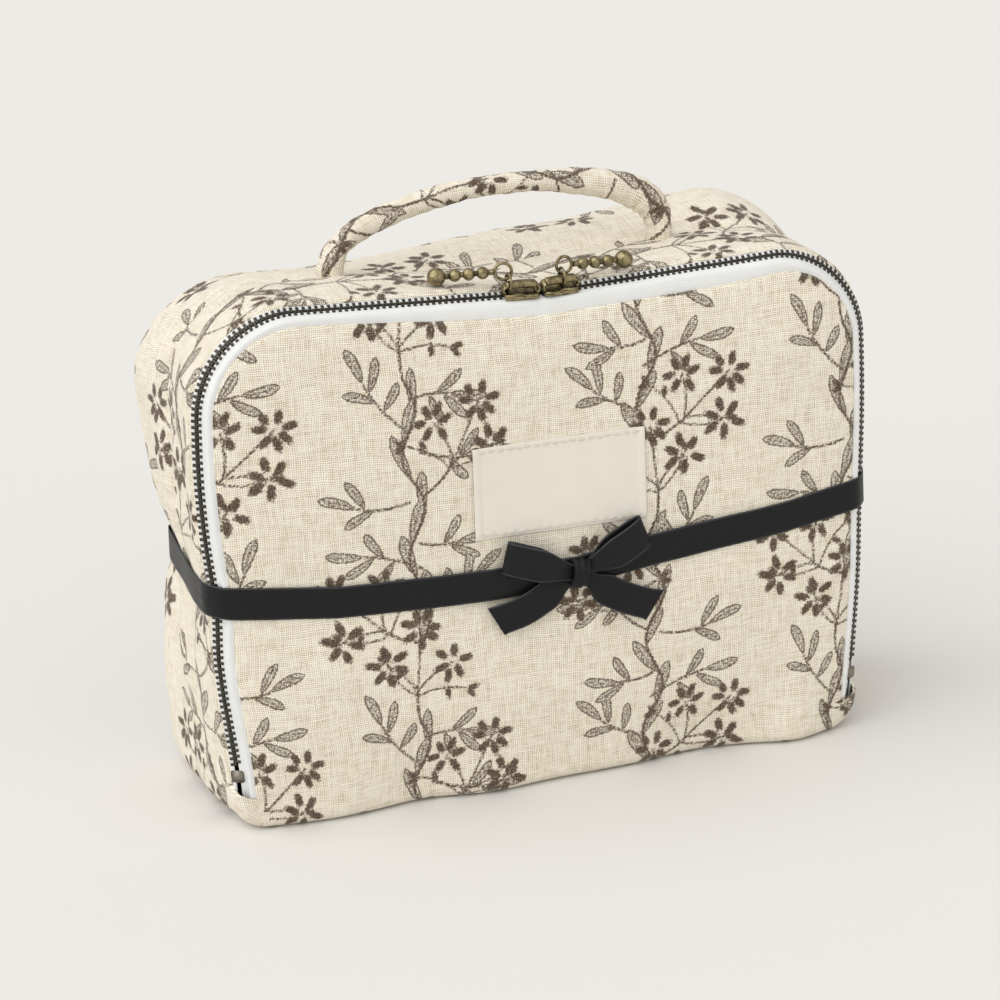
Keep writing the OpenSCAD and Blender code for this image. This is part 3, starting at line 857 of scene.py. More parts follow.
def fill_arch(line, corner_x, rows, columns):
    """A grid under a line that runs up, over and down again, split where it passes corner_x."""
    low = 9 * (line[:, 1] < CORNER_Z)
    a, b = (np.argmin(np.abs(line[:, 0] + side * corner_x) + low) for side in (1, -1))
    left, right = resample(line[: a + 1], rows), resample(line[b:][::-1], rows)
    top, bottom = resample(line[a : b + 1], columns), resample([left[0], right[0]], columns)
    return np.moveaxis(coons(bottom, right, top, left), -1, 0)


def make_front_gauze():
    line = seam_line()
    line[:, 1] += EDGE_R * (math.pi / 2 - 1)
    columns = int(2 * HALF_W / FRONT_CELL * 0.92)
    rows = int(BODY_H / FRONT_CELL * 0.95)
    x, v = fill_arch(line, 112, rows, columns)
    depth, z = wrap_under(v)
    inside = edge_distance(x, z, seam_inset(x, z))
    y = FRONT_Y - front_puff(x, z) * smooth(inside, -1.0, 4.0) + depth
    y = y + rolled_in(inside, 1.7) * smooth(z, 8, 20)
    fields = print_fields(x + 4, v)
    piece = add_mesh("front_gauze", settle(xyz(x, y, z)), grid_faces(rows, columns), GAUZE, fields=fields)
    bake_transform(piece)
    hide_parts("front_panel", "front_foot", "hinge_fold")


def fullness(x, z, ribbon_z, across):
    """How far a gusset strip stands out, at across from 0 to 1, less where the ribbon presses it."""
    full = 0.8 * (1 - 0.9 * hump(z, ribbon_z, 13) * (np.abs(x) > CORNER_X))
    return full * np.sin(np.clip(across, 0, 1) * math.pi)


def gusset_profile(s, t):
    """Inset and depth at t from 0, the front edge, to 1, the mid seam, at distance s along the rim."""
    x, z = np.moveaxis(rim_at(s, 0.0), -1, 0)
    on_foot = smooth(-z, -ZIP_FROM - 0.5, -HINGE_Z + 2)
    forward = on_foot * (GUSSET_Y - FRONT_Y + 9.0)
    length = SEAM_Y - GUSSET_Y
    a = t * (length + forward) - forward
    y = GUSSET_Y + a
    inset = np.zeros_like(y)
    # Round the front corner, then along the front face.
    start = FRONT_Y + EDGE_R
    past = np.maximum(start - y, 0)
    angle = np.clip(past / EDGE_R, 0, math.pi / 2)
    flat_part = np.maximum(past - EDGE_R * math.pi / 2, 0)
    inset = np.where(past > 0, EDGE_R * (1 - np.cos(angle)) + flat_part, inset)
    y = np.where(past > 0, start - EDGE_R * np.sin(angle), y)
    # A rolled edge beside the zip.
    inset = inset + rolled_in(np.maximum(a + forward, 0), 1.6) * (1 - on_foot)
    # A shallow valley at the seam, and a little fullness before it.
    to_seam = length - a
    inset = inset + 0.9 * np.exp(-np.maximum(to_seam, 0) / 1.3)
    return inset - fullness(x, z, 90, a / length) * (1 - on_foot), y


def rear_profile(s, t):
    """Inset and depth from t = 0, the mid seam, to 1, the rear seam."""
    length = BACK_Y - REAR_R - SEAM_Y
    total = length + REAR_R * math.pi / 2
    a = t * total
    angle = np.clip((a - length) / REAR_R, 0, math.pi / 2)
    y = SEAM_Y + np.minimum(a, length) + REAR_R * np.sin(angle)
    inset = REAR_R * (1 - np.cos(angle))
    inset = inset + 0.9 * np.exp(-a / 1.3)
    y = y - 0.7 * np.exp(-(total - a) / 1.0)
    x, z = np.moveaxis(rim_at(s, 0.0), -1, 0)
    return inset - fullness(x, z, 92, a / length), y


def swept(s, t, profile):
    """Grid of points over distances s along the rim and t across it."""
    ss, tt = np.meshgrid(s, t, indexing="ij")
    inset, y = profile(ss, tt)
    return off_rim(ss, inset, y), ss, tt


def pucker(points, ss, along_seam, amount):
    """Small folds that run across a seam."""
    lift = amount * along_seam * np.sin(ss * 2 * math.pi / 8.5 + 2.2 * np.sin(ss / 19))
    centre = np.array([0, 0, 95.0])
    outward = unit((points - centre) * [1, 0, 1])
    return points + outward * lift[..., None]


def make_gusset_gauze():
    s = np.linspace(S_FOOT, RIM_LENGTH - S_FOOT, int((RIM_LENGTH - 2 * S_FOOT) / SIDE_CELL))
    for name, profile, span, node in (
        ("gusset_front_gauze", gusset_profile, SEAM_Y - GUSSET_Y, "gusset_front"),
        ("gusset_rear_gauze", rear_profile, BACK_Y - SEAM_Y, "gusset_rear"),
    ):
        t = np.linspace(0, 1, int(span / SIDE_CELL) + 6)
        points, ss, tt = swept(s, t, profile)
        near = np.exp(-tt * span / 5) * (0.8 if name == "gusset_rear_gauze" else 0.3)
        near = near + np.exp(-(1 - tt) * span / 5) * 0.8
        points = settle(pucker(points, ss, near, 0.35))
        steps = np.diff(points, axis=1, prepend=points[:, :1])
        run = np.cumsum(np.linalg.norm(steps, axis=-1), axis=1)
        if name == "gusset_front_gauze":
            run = run - run[:, -1:]
        fields = print_fields(run + SEAM_Y + 62, ss + 8)
        piece = add_mesh(name, points, grid_faces(len(s), len(t)), GAUZE, "shell", fields)
        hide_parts(node)


def make_base_gauze():
    x = np.linspace(-HALF_W + BOTTOM_R - 1, HALF_W - BOTTOM_R + 1, 250)
    turn = np.linspace(0.15, math.pi / 2, 9)
    y = np.r_[np.linspace(FRONT_Y + EDGE_R, BACK_Y - REAR_R, 80), BACK_Y - REAR_R * (1 - np.sin(turn))]
    xx, yy = np.meshgrid(x, y, indexing="ij")
    over = np.maximum(yy - (BACK_Y - REAR_R), 0)
    z = REAR_R - np.sqrt(np.maximum(REAR_R**2 - over**2, 0))
    fields = print_fields(xx + 21, yy + 60)
    piece = add_mesh("base_gauze", settle(xyz(xx, yy, z)), grid_faces(*xx.shape), GAUZE, "shell", fields)
    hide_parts("base_panel")


def fill_outline(inset, rows, columns):
    """A grid that fills the outline moved in by inset, cut at the middles of its four corners."""
    s = np.linspace(0, RIM_LENGTH, 2400)
    line = rim_at(s, inset)
    quarter = BOTTOM_R * math.pi / 4
    top_corner = s_at_height(CORNER_Z) + TOP_R * math.pi / 4
    cuts = [S_FOOT + quarter, top_corner, RIM_LENGTH - top_corner, RIM_LENGTH - S_FOOT - quarter]
    a, b, c, d = (int(np.searchsorted(s, cut)) for cut in cuts)
    left, top, right = line[a : b + 1], line[b : c + 1], line[c : d + 1][::-1]
    bottom = np.vstack([line[: a + 1][::-1], line[d:][::-1]])
    bottom = bottom[np.argsort(bottom[:, 0])]
    bottom, top = resample(bottom, columns), resample(top, columns)
    flat = coons(bottom, resample(right, rows), top, resample(left, rows))
    return np.moveaxis(flat, -1, 0)


def make_back_gauze():
    columns, rows = int(2 * HALF_W / SIDE_CELL), int(BODY_H / SIDE_CELL)
    x, z = fill_outline(REAR_R - 0.4, rows, columns)
    inside = np.minimum(edge_distance(x, z, REAR_R - 0.4), z - REAR_R + 0.4)
    crown = 1.6 * (1 - np.exp(-np.maximum(inside, 0) / 16))
    crown = crown + 0.8 * ripple(x, z, 80, 8) * smooth(inside, 2, 30)
    y = BACK_Y - 0.9 * np.exp(-np.maximum(inside, 0) / 1.2) + crown
    faces, fields = grid_faces(rows, columns, flip=True), print_fields(-x + 30, z + 20)
    piece = add_mesh("back_gauze", settle(xyz(x, y, z)), faces, GAUZE, "shell", fields)
    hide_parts("back_panel")


# ---- Padding and lining ----
def add_pad(name, points, faces, cloth, body, *nodes):
    piece = add_mesh(name, points, faces, LINING, body, {"cloth": cloth})
    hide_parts(*nodes)


def slab_pad(name, x, z, outer, inner, body, *nodes):
    """A closed pad over a grid, from depth outer to depth inner."""
    points = np.stack([settle(xyz(x, outer, z)), settle(xyz(x, inner, z))])
    add_pad(name, points, slab_faces(*x.shape), np.stack([cloth_field(x, z)] * 2), body, *nodes)


def quilt(x, z, seed):
    return 0.35 * ripple(x, z, 26, seed)


def make_front_padding():
    """The flap's pad, from just behind its gauze to the lining."""
    line = seam_line(1.2)
    x, z = fill_arch(line[line[:, 1] > HINGE_Z + 1.0], 111, 70, 90)
    inside = edge_distance(x, z, 10)
    outer = FRONT_Y - front_puff(x, z) * smooth(inside, 0, 10) + 1.5
    inner = FRONT_Y + 4.1 + quilt(x, z, 4) - 0.8 * np.exp(-np.maximum(inside, 0) / 3)
    slab_pad("front_padding", x, z, outer, inner, "flap", "front_foam", "front_lining")


def make_back_padding():
    x, z = fill_outline(4.2, 70, 90)
    lining = BACK_Y - 3.9 + quilt(x, z, 6) - 0.5
    slab_pad("back_padding", x, z, lining, BACK_Y - 1.1, "shell", "back_foam", "back_lining")


def make_gusset_padding():
    """The pad round the rim."""
    s = np.linspace(S_FOOT, RIM_LENGTH - S_FOOT, 260)
    y0, y1 = FRONT_Y + 11.0, BACK_Y - 4.4
    ring = [(1.2, y0 + 1.0)] + [(1.2, y) for y in np.linspace(y0 + 2, y1, 16)]
    ring += [(3.9, y) for y in np.linspace(y1, y0 + 1.5, 16)] + [(3.3, y0), (1.8, y0)]
    profile = np.array(ring)
    ss, kk = np.meshgrid(s, np.arange(len(profile)), indexing="ij")
    inset, y = profile[kk, 0], profile[kk, 1]
    inset = inset + np.where(inset > 3.5, quilt(ss, y, 7), 0)
    points, faces = settle(off_rim(ss, inset, y)), tube_faces(len(s), len(profile))
    add_pad("gusset_padding", points, faces, cloth_field(ss, y), "shell", "gusset_foam", "gusset_lining")


def box_pad(name, x, y, z, *nodes):
    """A flat closed pad of the shell between three pairs of limits, with soft edges."""
    bm = bmesh.new()
    bmesh.ops.create_cube(bm, size=1.0)
    for v in bm.verts:
        v.co = [(lo + hi) / 2 + c * (hi - lo) for c, (lo, hi) in zip(v.co, (x, y, z))]
    bmesh.ops.bevel(bm, geom=bm.edges[:], offset=0.8, segments=3, affect="EDGES")
    long_edges = [e for e in bm.edges if e.calc_length() > 12]
    bmesh.ops.subdivide_edges(bm, edges=long_edges, cuts=40, use_grid_fill=True)
    points, faces = taken(bm)
    # The subdivision lists its faces in another order each run, so they are put in order here.
    starts = [f.index(min(f)) for f in faces]
    faces = sorted(f[k:] + f[:k] for f, k in zip(faces, starts))
    upper = points[:, 2] > (z[0] + z[1]) / 2
    points[:, 2] += quilt(points[:, 0], points[:, 1], 9) * upper
    add_pad(name, settle(points), faces, cloth_field(points[:, 0], points[:, 1]), "shell", *nodes)


def make_base_padding():
    depths = FRONT_Y + 5.5, BACK_Y - 3.2
    box_pad("base_padding", (-118.6, 118.6), depths, (1.0, 4.0), "base_foam", "base_lining")


def make_foot_padding():
    depths = FRONT_Y + 1.3, FRONT_Y + 3.8
    box_pad("foot_padding", (-115, 115), depths, (4.6, HINGE_Z - 2.4), "front_foot_foam")


# ---- The zip ----
def chain_lean(s):
    """Lean of the chain: shallow where the sliders run, steeper round the corners and sides."""
    x, z = np.moveaxis(rim_at(s, 0.0), -1, 0)
    degrees = CHAIN_LEAN + 20 * smooth(np.abs(x), 84, 122) + 12 * smooth(-z, -60, -HINGE_Z)
    return np.radians(degrees)


def chain_frame(s):
    """Centre, direction along, direction across to the front, and direction out, at distances s."""
    def centre(at):
        return settle(off_rim(at, CHAIN_INSET, CHAIN_Y))

    along = unit(centre(s + 0.6) - centre(s - 0.6))
    inward = off_rim(s, 1.0, 0.0) - off_rim(s, 0.0, 0.0)
    lean = chain_lean(s)[..., None]
    across = np.sin(lean) * inward + np.cos(lean) * np.array([0, -1.0, 0])
    across = unit(across - (across * along).sum(-1, keepdims=True) * along)
    return centre(s), along, across, np.cross(along, across)


def tooth_shape():
    """A cast tooth: a wide jaw on the tape's cord, a neck and a rounded head past the centre line."""
    bm = bmesh.new()
    bmesh.ops.create_cube(bm, size=1.0)
    long_edges = [e for e in bm.edges if abs((e.verts[0].co - e.verts[1].co).y) > 0.5]
    bmesh.ops.subdivide_edges(bm, edges=long_edges, cuts=3)
    for v in bm.verts:
        t = v.co.y + 0.5                       # 0 at the head, 1 at the jaw
        width = 0.85 if t < 0.1 else 1.15 if t < 0.4 else 0.90 if t < 0.6 else 1.2
        v.co = (v.co.x * width, -0.55 + t * 2.60, v.co.z * (1.35 if t > 0.6 else 1.05))
    bmesh.ops.bevel(bm, geom=bm.edges[:], offset=0.16, segments=1, affect="EDGES")
    return taken(bm)


def make_teeth():
    shape, shape_faces = tooth_shape()
    middle = RIM_LENGTH / 2
    count = int((middle - S_TEETH) / TOOTH_PITCH)
    for side, name, body, offset in (
        (-1, "zip_teeth_rear", "shell", 0.0), (1, "zip_teeth_front", "flap", 0.5),
    ):
        s = middle + TOOTH_PITCH * (np.arange(-count, count) + offset)
        centre, along, across, out = chain_frame(s)
        local = shape * [1, side, 1]
        points = (
            centre[:, None] + along[:, None] * local[None, :, :1]
            + across[:, None] * local[None, :, 1:2] + out[:, None] * local[None, :, 2:]
        )
        starts = np.arange(len(s)) * len(shape)
        faces = [[i + start for i in f[::side]] for start in starts for f in shape_faces]
        piece = add_mesh(name + "_metal", points, faces, GUNMETAL, body)
        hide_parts(name)
        for polygon in piece.data.polygons:
            polygon.use_smooth = False


def tape_points(s, side):
    """Rings of a tape's section along the chain; side 1 is the front tape."""
    centre, _, across, out = chain_frame(s)
    if side > 0:
        seam = seam_inset(*np.moveaxis(rim_at(s, 0.0), -1, 0))
        beside = [centre + across * 2.6 + out * 0.12, centre + across * 4.0 - out * 0.05]
        sewn = [(seam - 1.6, FRONT_Y + 0.9), (seam + 2.6, FRONT_Y + 1.9)]
    else:
        beside = [centre - across * 1.9]
        sewn = [(1.9, GUSSET_Y + 0.9), (2.3, GUSSET_Y + 4.0), (2.3, GUSSET_Y + 6.5)]
    far = beside + [settle(off_rim(s, inset, y)) for inset, y in sewn]
    return np.stack([centre + across * side * 0.9] + far, axis=1)


def make_tapes():
    s = np.linspace(S_ZIP - 7.0, RIM_LENGTH - S_ZIP + 7.0, 570)
    for side, name, body in ((-1, "zip_tape_rear", "shell"), (1, "zip_tape_front", "flap")):
        surface = np.stack([curve_through(knots, 13) for knots in tape_points(s, side)])
        normal = unit(np.cross(np.gradient(surface, axis=0), np.gradient(surface, axis=1))) * side
        width = np.linspace(0, 1, 13)
        cord = 0.35 * np.exp(-(((width - 0.16) * 13) / 1.5) ** 2)
        upper = surface + normal * (0.25 + cord)[None, :, None]
        lower = surface - normal * 0.25
        ring = np.concatenate([upper, lower[:, ::-1]], axis=1)
        faces = grid_faces(*ring.shape[:2], closed_columns=True, flip=side < 0)
        cloth = cloth_field(s[:, None], there_and_back(width)[None, :] * 9)
        piece = add_mesh(name + "_twill", ring, faces, TAPE, body, {"cloth": cloth})
        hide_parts(name)


def make_stops():
    """The crimped metal boxes at the zip's two lower ends."""
    at = S_TEETH - 2.6
    for s, name in ((at, "zip_stop_left"), (RIM_LENGTH - at, "zip_stop_right")):
        centre, along, across, out = (v[0] for v in chain_frame(np.array([s])))
        bm = bmesh.new()
        bmesh.ops.create_cube(bm, size=1.0)
        bmesh.ops.scale(bm, vec=(4.8, 5.0, 2.2), verts=bm.verts[:])
        bmesh.ops.bevel(bm, geom=bm.edges[:], offset=0.5, segments=3, affect="EDGES")
        local, faces = taken(bm)
        points = centre + local[:, :1] * along + local[:, 1:2] * across + local[:, 2:] * out
        piece = add_mesh(name + "_box", points, faces, STOP_METAL, "shell")
        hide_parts(name)


# ---- The handle ----
HANDLE_X = [-67.0, -66.8, -63.0, -53.5, -38.5, -19, 1, 21, 40, 53, 60.3, 61.8, 61.5]
HANDLE_Z = [192.5, 199.0, 206.0, 212.0, 217.0, 221.0, 222.3, 221.5, 218.3, 213.5, 207.0, 200.0, 193.0]


def make_handle():
    """One padded strap, thin at its left and wide and flat at its right, sewn in at both feet."""
    path = curve_through(xyz(HANDLE_X, 0, HANDLE_Z), 190)
    x, _, z = path.T
    knee = hump(x, 56, 12) * smooth(z, 202, 210)
    foot = smooth(-z, -208, -199)
    wide = 3.9 + 0.4 * smooth(x, -30, 45) + 1.3 * foot
    tall = 4.3 - 0.6 * hump(x, 0, 26) + 1.2 * smooth(x, 8, 42) + 0.8 * knee
    tall = tall + foot * (0.6 - 1.2 * (x > 0))
    wide = wide + 0.15 * np.sin(x / 5.5) + 0.1 * np.sin(x / 2.3)
    tall = tall + 0.14 * np.sin(x / 4.1 + 1) + 0.10 * np.sin(x / 1.9)
    around = 48
    side = np.broadcast_to(np.array([0, 1.0, 0]), path.shape)
    ring, faces = tube(path, wide, tall, side, around)
    along = run_length(path)
    turn = np.linspace(0, 2 * math.pi, around, endpoint=False)
    # The seam under the strap, and creases across it where it bends.
    groove = 0.5 * np.exp(-(((turn - 4.7) / 0.12) ** 2))
    crease = 0.10 * np.sin(along * 2 * math.pi / 6.5)[:, None] * np.ones(around)
    bend = hump(x, 60, 9) * smooth(z, 196, 203)
    folds = 0.55 * bend * np.sin(along * 2 * math.pi / 5.2)
    crease = crease + folds[:, None] * np.clip(-np.sin(turn), 0, 1)
    ring = ring - unit(ring - path[:, None]) * (groove[None, :] + crease)[..., None]
    girth = turn * 4.2
    fields = print_fields(girth[None, :] + 34, along[:, None] + 64)
    piece = add_mesh("handle_strap", ring, faces, GAUZE, fields=fields)
    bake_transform(piece)
    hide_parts("handle_cover", "handle_cord", "handle_foot_left", "handle_foot_right")


# ---- The label ----
def make_label():
    x = np.linspace(label_low[0], label_high[0], 110)
    z = np.linspace(label_low[2], label_high[2], 60)
    xx, zz = np.meshgrid(x, z)
    u = (xx - label_low[0]) / (label_high[0] - label_low[0])
    v = (zz - label_low[2]) / (label_high[2] - label_low[2])
    ends = smooth(np.abs(u - 0.5), 0.455, 0.468)
    lift = 0.55 + 0.35 * ends - 0.25 * smooth(np.abs(v - 0.5), 0.42, 0.5)
    near_stitches = np.exp(-((np.abs(v - 0.5) - 0.44) / 0.02) ** 2)
    lift = lift + 0.18 * near_stitches * np.sin(xx * 2 * math.pi / 4.4)
    points = np.stack([on_front(xx, zz, lift), on_front(xx, zz, lift - 0.35)])
    cloth = np.stack([cloth_field(xx, zz)] * 2)
    piece = add_mesh("label_cloth", points, slab_faces(*xx.shape), LABEL, "flap", {"cloth": cloth})
    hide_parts("label")


def make_label_stitches():
    pitch, length = 3.5, 2.5
    stitches = []
    for z in (label_low[2] + 1.6, label_high[2] - 1.6):
        for x in np.arange(label_low[0] + 2.5, label_high[0] - 3.5, pitch):
            t = np.linspace(0, 1, 7)
            lift = 0.45 + 0.35 * np.sin(t * math.pi)
            path = on_front(x + t * length, np.full(7, z) + 0.12 * math.sin(x), lift + 0.1)
            side = np.broadcast_to(np.array([0, 0, 1.0]), path.shape)
            stitches.append(tube(path, 0.26, 0.2, side, 8))
    points, faces = joined(stitches)
    piece = add_mesh("label_thread", points, faces, THREAD, "flap", {"cloth": points[:, [0, 2, 1]]})
    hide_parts("label_stitches")


# ---- The ribbon and its bow ----
RIBBON_W = 12.0
RIBBON_HALF = 0.17            # half its thickness
KNOT = np.array([8.0, 0.0, 84.2])
WRAPPED = (
    "front_gauze", "gusset_front_gauze", "gusset_rear_gauze", "back_gauze",
    "zip_tape_front_twill", "zip_tape_rear_twill", "zip_teeth_front_metal", "zip_teeth_rear_metal",
)


def band_height(x, y):
    """Height of the ribbon's centre line anywhere round the bag."""
    behind = np.interp(x, [-122, 122], [89.5, 97.0])
    t = np.clip((y - FRONT_Y) / (BACK_Y - FRONT_Y), 0, 1)
    return ribbon_height(x) * (1 - t) + behind * t


def wrapped_points():
    """Every point of the wrapped pieces that lies under the ribbon."""
    found = []
    for name in WRAPPED:
        vertices = bpy.data.objects[name].data.vertices
        flat = np.empty(len(vertices) * 3)
        vertices.foreach_get("co", flat)
        points = flat.reshape(-1, 3) / MM
        under = np.abs(points[:, 2] - band_height(points[:, 0], points[:, 1])) < 6.5
        found.append(points[under])
    return np.vstack(found)


def loop_ahead(loop):
    return unit(np.roll(loop, -1, axis=0) - np.roll(loop, 1, axis=0))


def band_loop(out):
    """The taut loop round what it wraps: the outline of the hull seen from above, its corners eased."""
    wrapped = wrapped_points()
    heading = np.linspace(0, 2 * math.pi, 1440, endpoint=False)
    reach = np.stack([np.cos(heading), np.sin(heading)], axis=-1) @ wrapped[:, :2].T
    touched = np.argmax(reach, axis=1)
    corners = wrapped[touched[np.r_[True, np.diff(touched) != 0]]] * [1, 1, 0]
    loop = resample(np.vstack([corners, corners[:1]]), 700)[:-1]
    for _ in range(8):
        loop = (np.roll(loop, 1, axis=0) + 2 * loop + np.roll(loop, -1, axis=0)) / 4
    loop = loop + np.cross(loop_ahead(loop), [0, 0, 1.0]) * out
    loop[:, 2] = band_height(loop[:, 0], loop[:, 1])
    return loop


def make_ribbon():
    """The band: one long run round the bag, lying on its cloth. Returns its depth at the knot."""
    loop = band_loop(0.5)
    count = len(loop)
    ahead = loop_ahead(loop)
    up = unit(np.array([0, 0, 1.0]) - ahead * ahead[:, 2:3])
    face = np.cross(ahead, up)
    t = np.linspace(-1, 1, 11)
    turn = np.arange(count) * 2 * math.pi / count
    wave = 0.15 * np.sin(8 * turn)[:, None] * t[None, :] + 0.10 * np.sin(17 * turn)[:, None]
    middle = loop[:, None] + up[:, None] * (t * RIBBON_W / 2)[None, :, None]
    middle = middle + face[:, None] * wave[..., None]
    ring = thin_rings(middle, face[:, None], RIBBON_HALF)
    faces = grid_faces(count, ring.shape[1], closed_rows=True, closed_columns=True)
    along = run_length(loop)
    cloth = cloth_field(along[:, None], there_and_back(t)[None, :] * RIBBON_W / 2)
    piece = add_mesh("ribbon_band_satin", ring, faces, RIBBON, "ribbon", {"cloth": cloth})
    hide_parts("ribbon_band")
    front = loop[loop[:, 1] < 0]
    return float(front[np.argmin(np.abs(front[:, 0] - KNOT[0])), 1])


# The tails' runs in x and z.
LEFT_TAIL = [(5, 81.5), (-5, 77.0), (-14, 73.0), (-24.5, 70.0)]
RIGHT_TAIL = [(12, 81.5), (20, 75.5), (28.5, 71.0), (38.3, 66.8)]


def make_bow(y0):
    """The bow, standing on the band's face at the depth y0."""
    make_loop("bow_loop_left", np.array([-20.3, 0, 94.6]), (0.26, 0.0, 1.0), y0, -1)
    make_loop("bow_loop_right", np.array([34.6, 0, 97.4]), (-0.36, 0.0, 1.0), y0, 1)
    make_tail("bow_tail_left", LEFT_TAIL, (-0.42, 0, 1.0), y0, -1)
    make_tail("bow_tail_right", RIGHT_TAIL, (0.35, 0, 1.0), y0, 1)
    make_knot(y0)


def add_satin(node, ring, faces, cloth):
    piece = add_mesh(node + "_satin", ring, faces, RIBBON, "ribbon", {"cloth": cloth})
    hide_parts(node)


# A loop's run: the share of its reach, then millimetres forward and up.
LOOP_PATH = [
    (0.0, 0.8, 0), (0.3, 0.4, -0.3), (0.65, 0.2, -0.2), (0.9, 0.5, 0), (1.0, 1.9, 0), (0.97, 3.8, 0.1),
    (0.8, 5.6, 0.3), (0.5, 6.3, 0.4), (0.25, 5.2, 0.2), (0.0, 3.2, 0),
]


def make_loop(name, far, tilt, y0, side):
    """A hollow loop: out along the bag, round its far end and back over itself to the knot."""
    start = KNOT + [side * 3.2, 0, 1.5]
    reach = far - start
    out, forward, up = np.array(LOOP_PATH).T
    path = curve_through(xyz(start[0] + reach[0] * out, y0 - forward, start[2] + reach[2] * out + up), 90)
    t = np.linspace(0, 1, 90)
    near_knot = np.minimum(t, 1 - t)
    half = 3.0 + 3.1 * smooth(near_knot, 0.0, 0.26)
    across = np.broadcast_to(np.array(tilt), path.shape)
    cup = 1.6 * (1 - smooth(near_knot, 0.0, 0.22))
    ring, faces, cloth = strip(path, across, half, cup)
    add_satin(name, ring, faces, cloth)


def make_tail(name, knots, tilt, y0, side):
    """A tail that leaves the knot pleated and spreads to its full width."""
    path = curve_through([(x, 0, z) for x, z in knots], 50)
    t = np.linspace(0, 1, 50)
    path[:, 1] = y0 - 1.0 - 1.6 * np.sin(t * 2.6) ** 2
    half = 2.8 + 3.2 * smooth(t, 0.0, 0.3)
    across = np.broadcast_to(np.array(tilt), path.shape)
    ring, faces, cloth = strip(path, across, half, 1.3 * (1 - smooth(t, 0, 0.35)))
    # The end is cut on a slant.
    last = ring[-1]
    slant = (last[:, 2] - last[:, 2].mean()) / 6.0
    ring[-6:] += (np.linspace(0, 1, 6)[:, None] * slant[None, :])[..., None] * np.array([side * 1.6, 0, 0])
    add_satin(name, ring, faces, cloth)


def make_knot(y0):
    """A turn of pleated ribbon over the middle of the bow."""
    a = np.linspace(-math.pi / 2 * 1.15, math.pi / 2 * 1.15, 40)
    path = xyz(KNOT[0] + 0.5 + 0.8 * np.sin(a), y0 - 3.2 - 3.2 * np.cos(a), KNOT[2] + 0.6 + 5.4 * np.sin(a))
    t = np.linspace(-1, 1, 15)
    half = 3.9 - 0.7 * np.cos(a)
    mid = path[:, None] + np.array([1.0, 0, -0.12]) * (t[None, :, None] * half[:, None, None])
    outward = unit(path - [KNOT[0], y0 - 2.5, KNOT[2] + 0.6])
    pleat = -1.1 * t**2 + 0.35 * np.cos(t * 8.5)
    mid = mid + outward[:, None] * pleat[None, :, None]
    ring = thin_rings(mid, outward[:, None], RIBBON_HALF)
    faces = tube_faces(len(path), ring.shape[1], flip=True)
    cloth = cloth_field((a * 6)[:, None], there_and_back(t)[None, :] * 5)
    add_satin("bow_knot", ring, faces, cloth)


# ---- Inside trims ----
def make_bindings():
    """Folded tape over the raw edges inside the flap and the back."""
    for name, body, inset, wide, y, deep, s0 in (
        ("front_binding", "flap", 9.4, 1.5, FRONT_Y + 3.4, 1.0, S_ZIP + 1),
        ("back_binding", "shell", 4.6, 0.6, BACK_Y - 5.6, 2.8, S_FOOT),
    ):
        s = np.linspace(s0, RIM_LENGTH - s0, 420)
        turn = np.linspace(0, 2 * math.pi, 12, endpoint=False)
        ss, tt = np.meshgrid(s, turn, indexing="ij")
        edge = inset + wide * np.cos(tt) + 0.12 * np.sin(ss / 2.1)
        points = settle(off_rim(ss, edge, y + deep * np.sin(tt)))
        cloth = cloth_field(ss, tt)
        piece = add_mesh(name + "_tape", points, tube_faces(*ss.shape), BINDING, body, {"cloth": cloth})
        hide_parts(name)


def thicken(piece, amount):
    thick = piece.modifiers.new("thickness", "SOLIDIFY")
    thick.thickness = amount * MM
    thick.offset = 0


def make_pocket():
    """The slip pocket on the back's lining and the tape along its mouth."""
    low, high = box_mm("pocket_panel")
    x = np.linspace(low[0], high[0], 100)
    z = np.linspace(low[2], high[2], 60)
    xx, zz = np.meshgrid(x, z)
    u, v = (xx - low[0]) / (high[0] - low[0]), (zz - low[2]) / (high[2] - low[2])
    swell = np.sin(u * math.pi) ** 0.4 * smooth(v, 0.0, 0.25)
    y = high[1] - 0.7 - 2.2 * swell * (0.75 + 0.25 * v) + 0.25 * ripple(xx, zz, 30, 11)
    points, cloth = settle(xyz(xx, y, zz)), cloth_field(xx, zz)
    piece = add_mesh("pocket_cloth", points, grid_faces(*xx.shape), LINING, "shell", {"cloth": cloth})
    thicken(piece, 0.5)
    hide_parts("pocket_panel")
    rows = slice(int(60 * 0.89), 60)
    hem = points[rows] + [0, -0.75, 0]
    faces = grid_faces(*hem.shape[:2])
    piece = add_mesh("pocket_hem_tape", hem, faces, BINDING, "shell", {"cloth": cloth[rows]})
    thicken(piece, 0.6)
    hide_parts("pocket_hem")


# ---- The sliders ----
def on_slider(local, side):
    """Places x along the zip from where the sliders meet, y to the back and z out of the chain."""
    lean = math.radians(CHAIN_LEAN)
    x, y, z = np.moveaxis(local, -1, 0)
    depth = CHAIN_Y + y * math.cos(lean) - z * math.sin(lean)
    over = -CHAIN_INSET + y * math.sin(lean) + z * math.cos(lean)
    along = x * math.cos(TOP_SLOPE) - over * math.sin(TOP_SLOPE)
    height = BODY_H + x * math.sin(TOP_SLOPE) + over * math.cos(TOP_SLOPE)
    return xyz(side * along, depth, height)


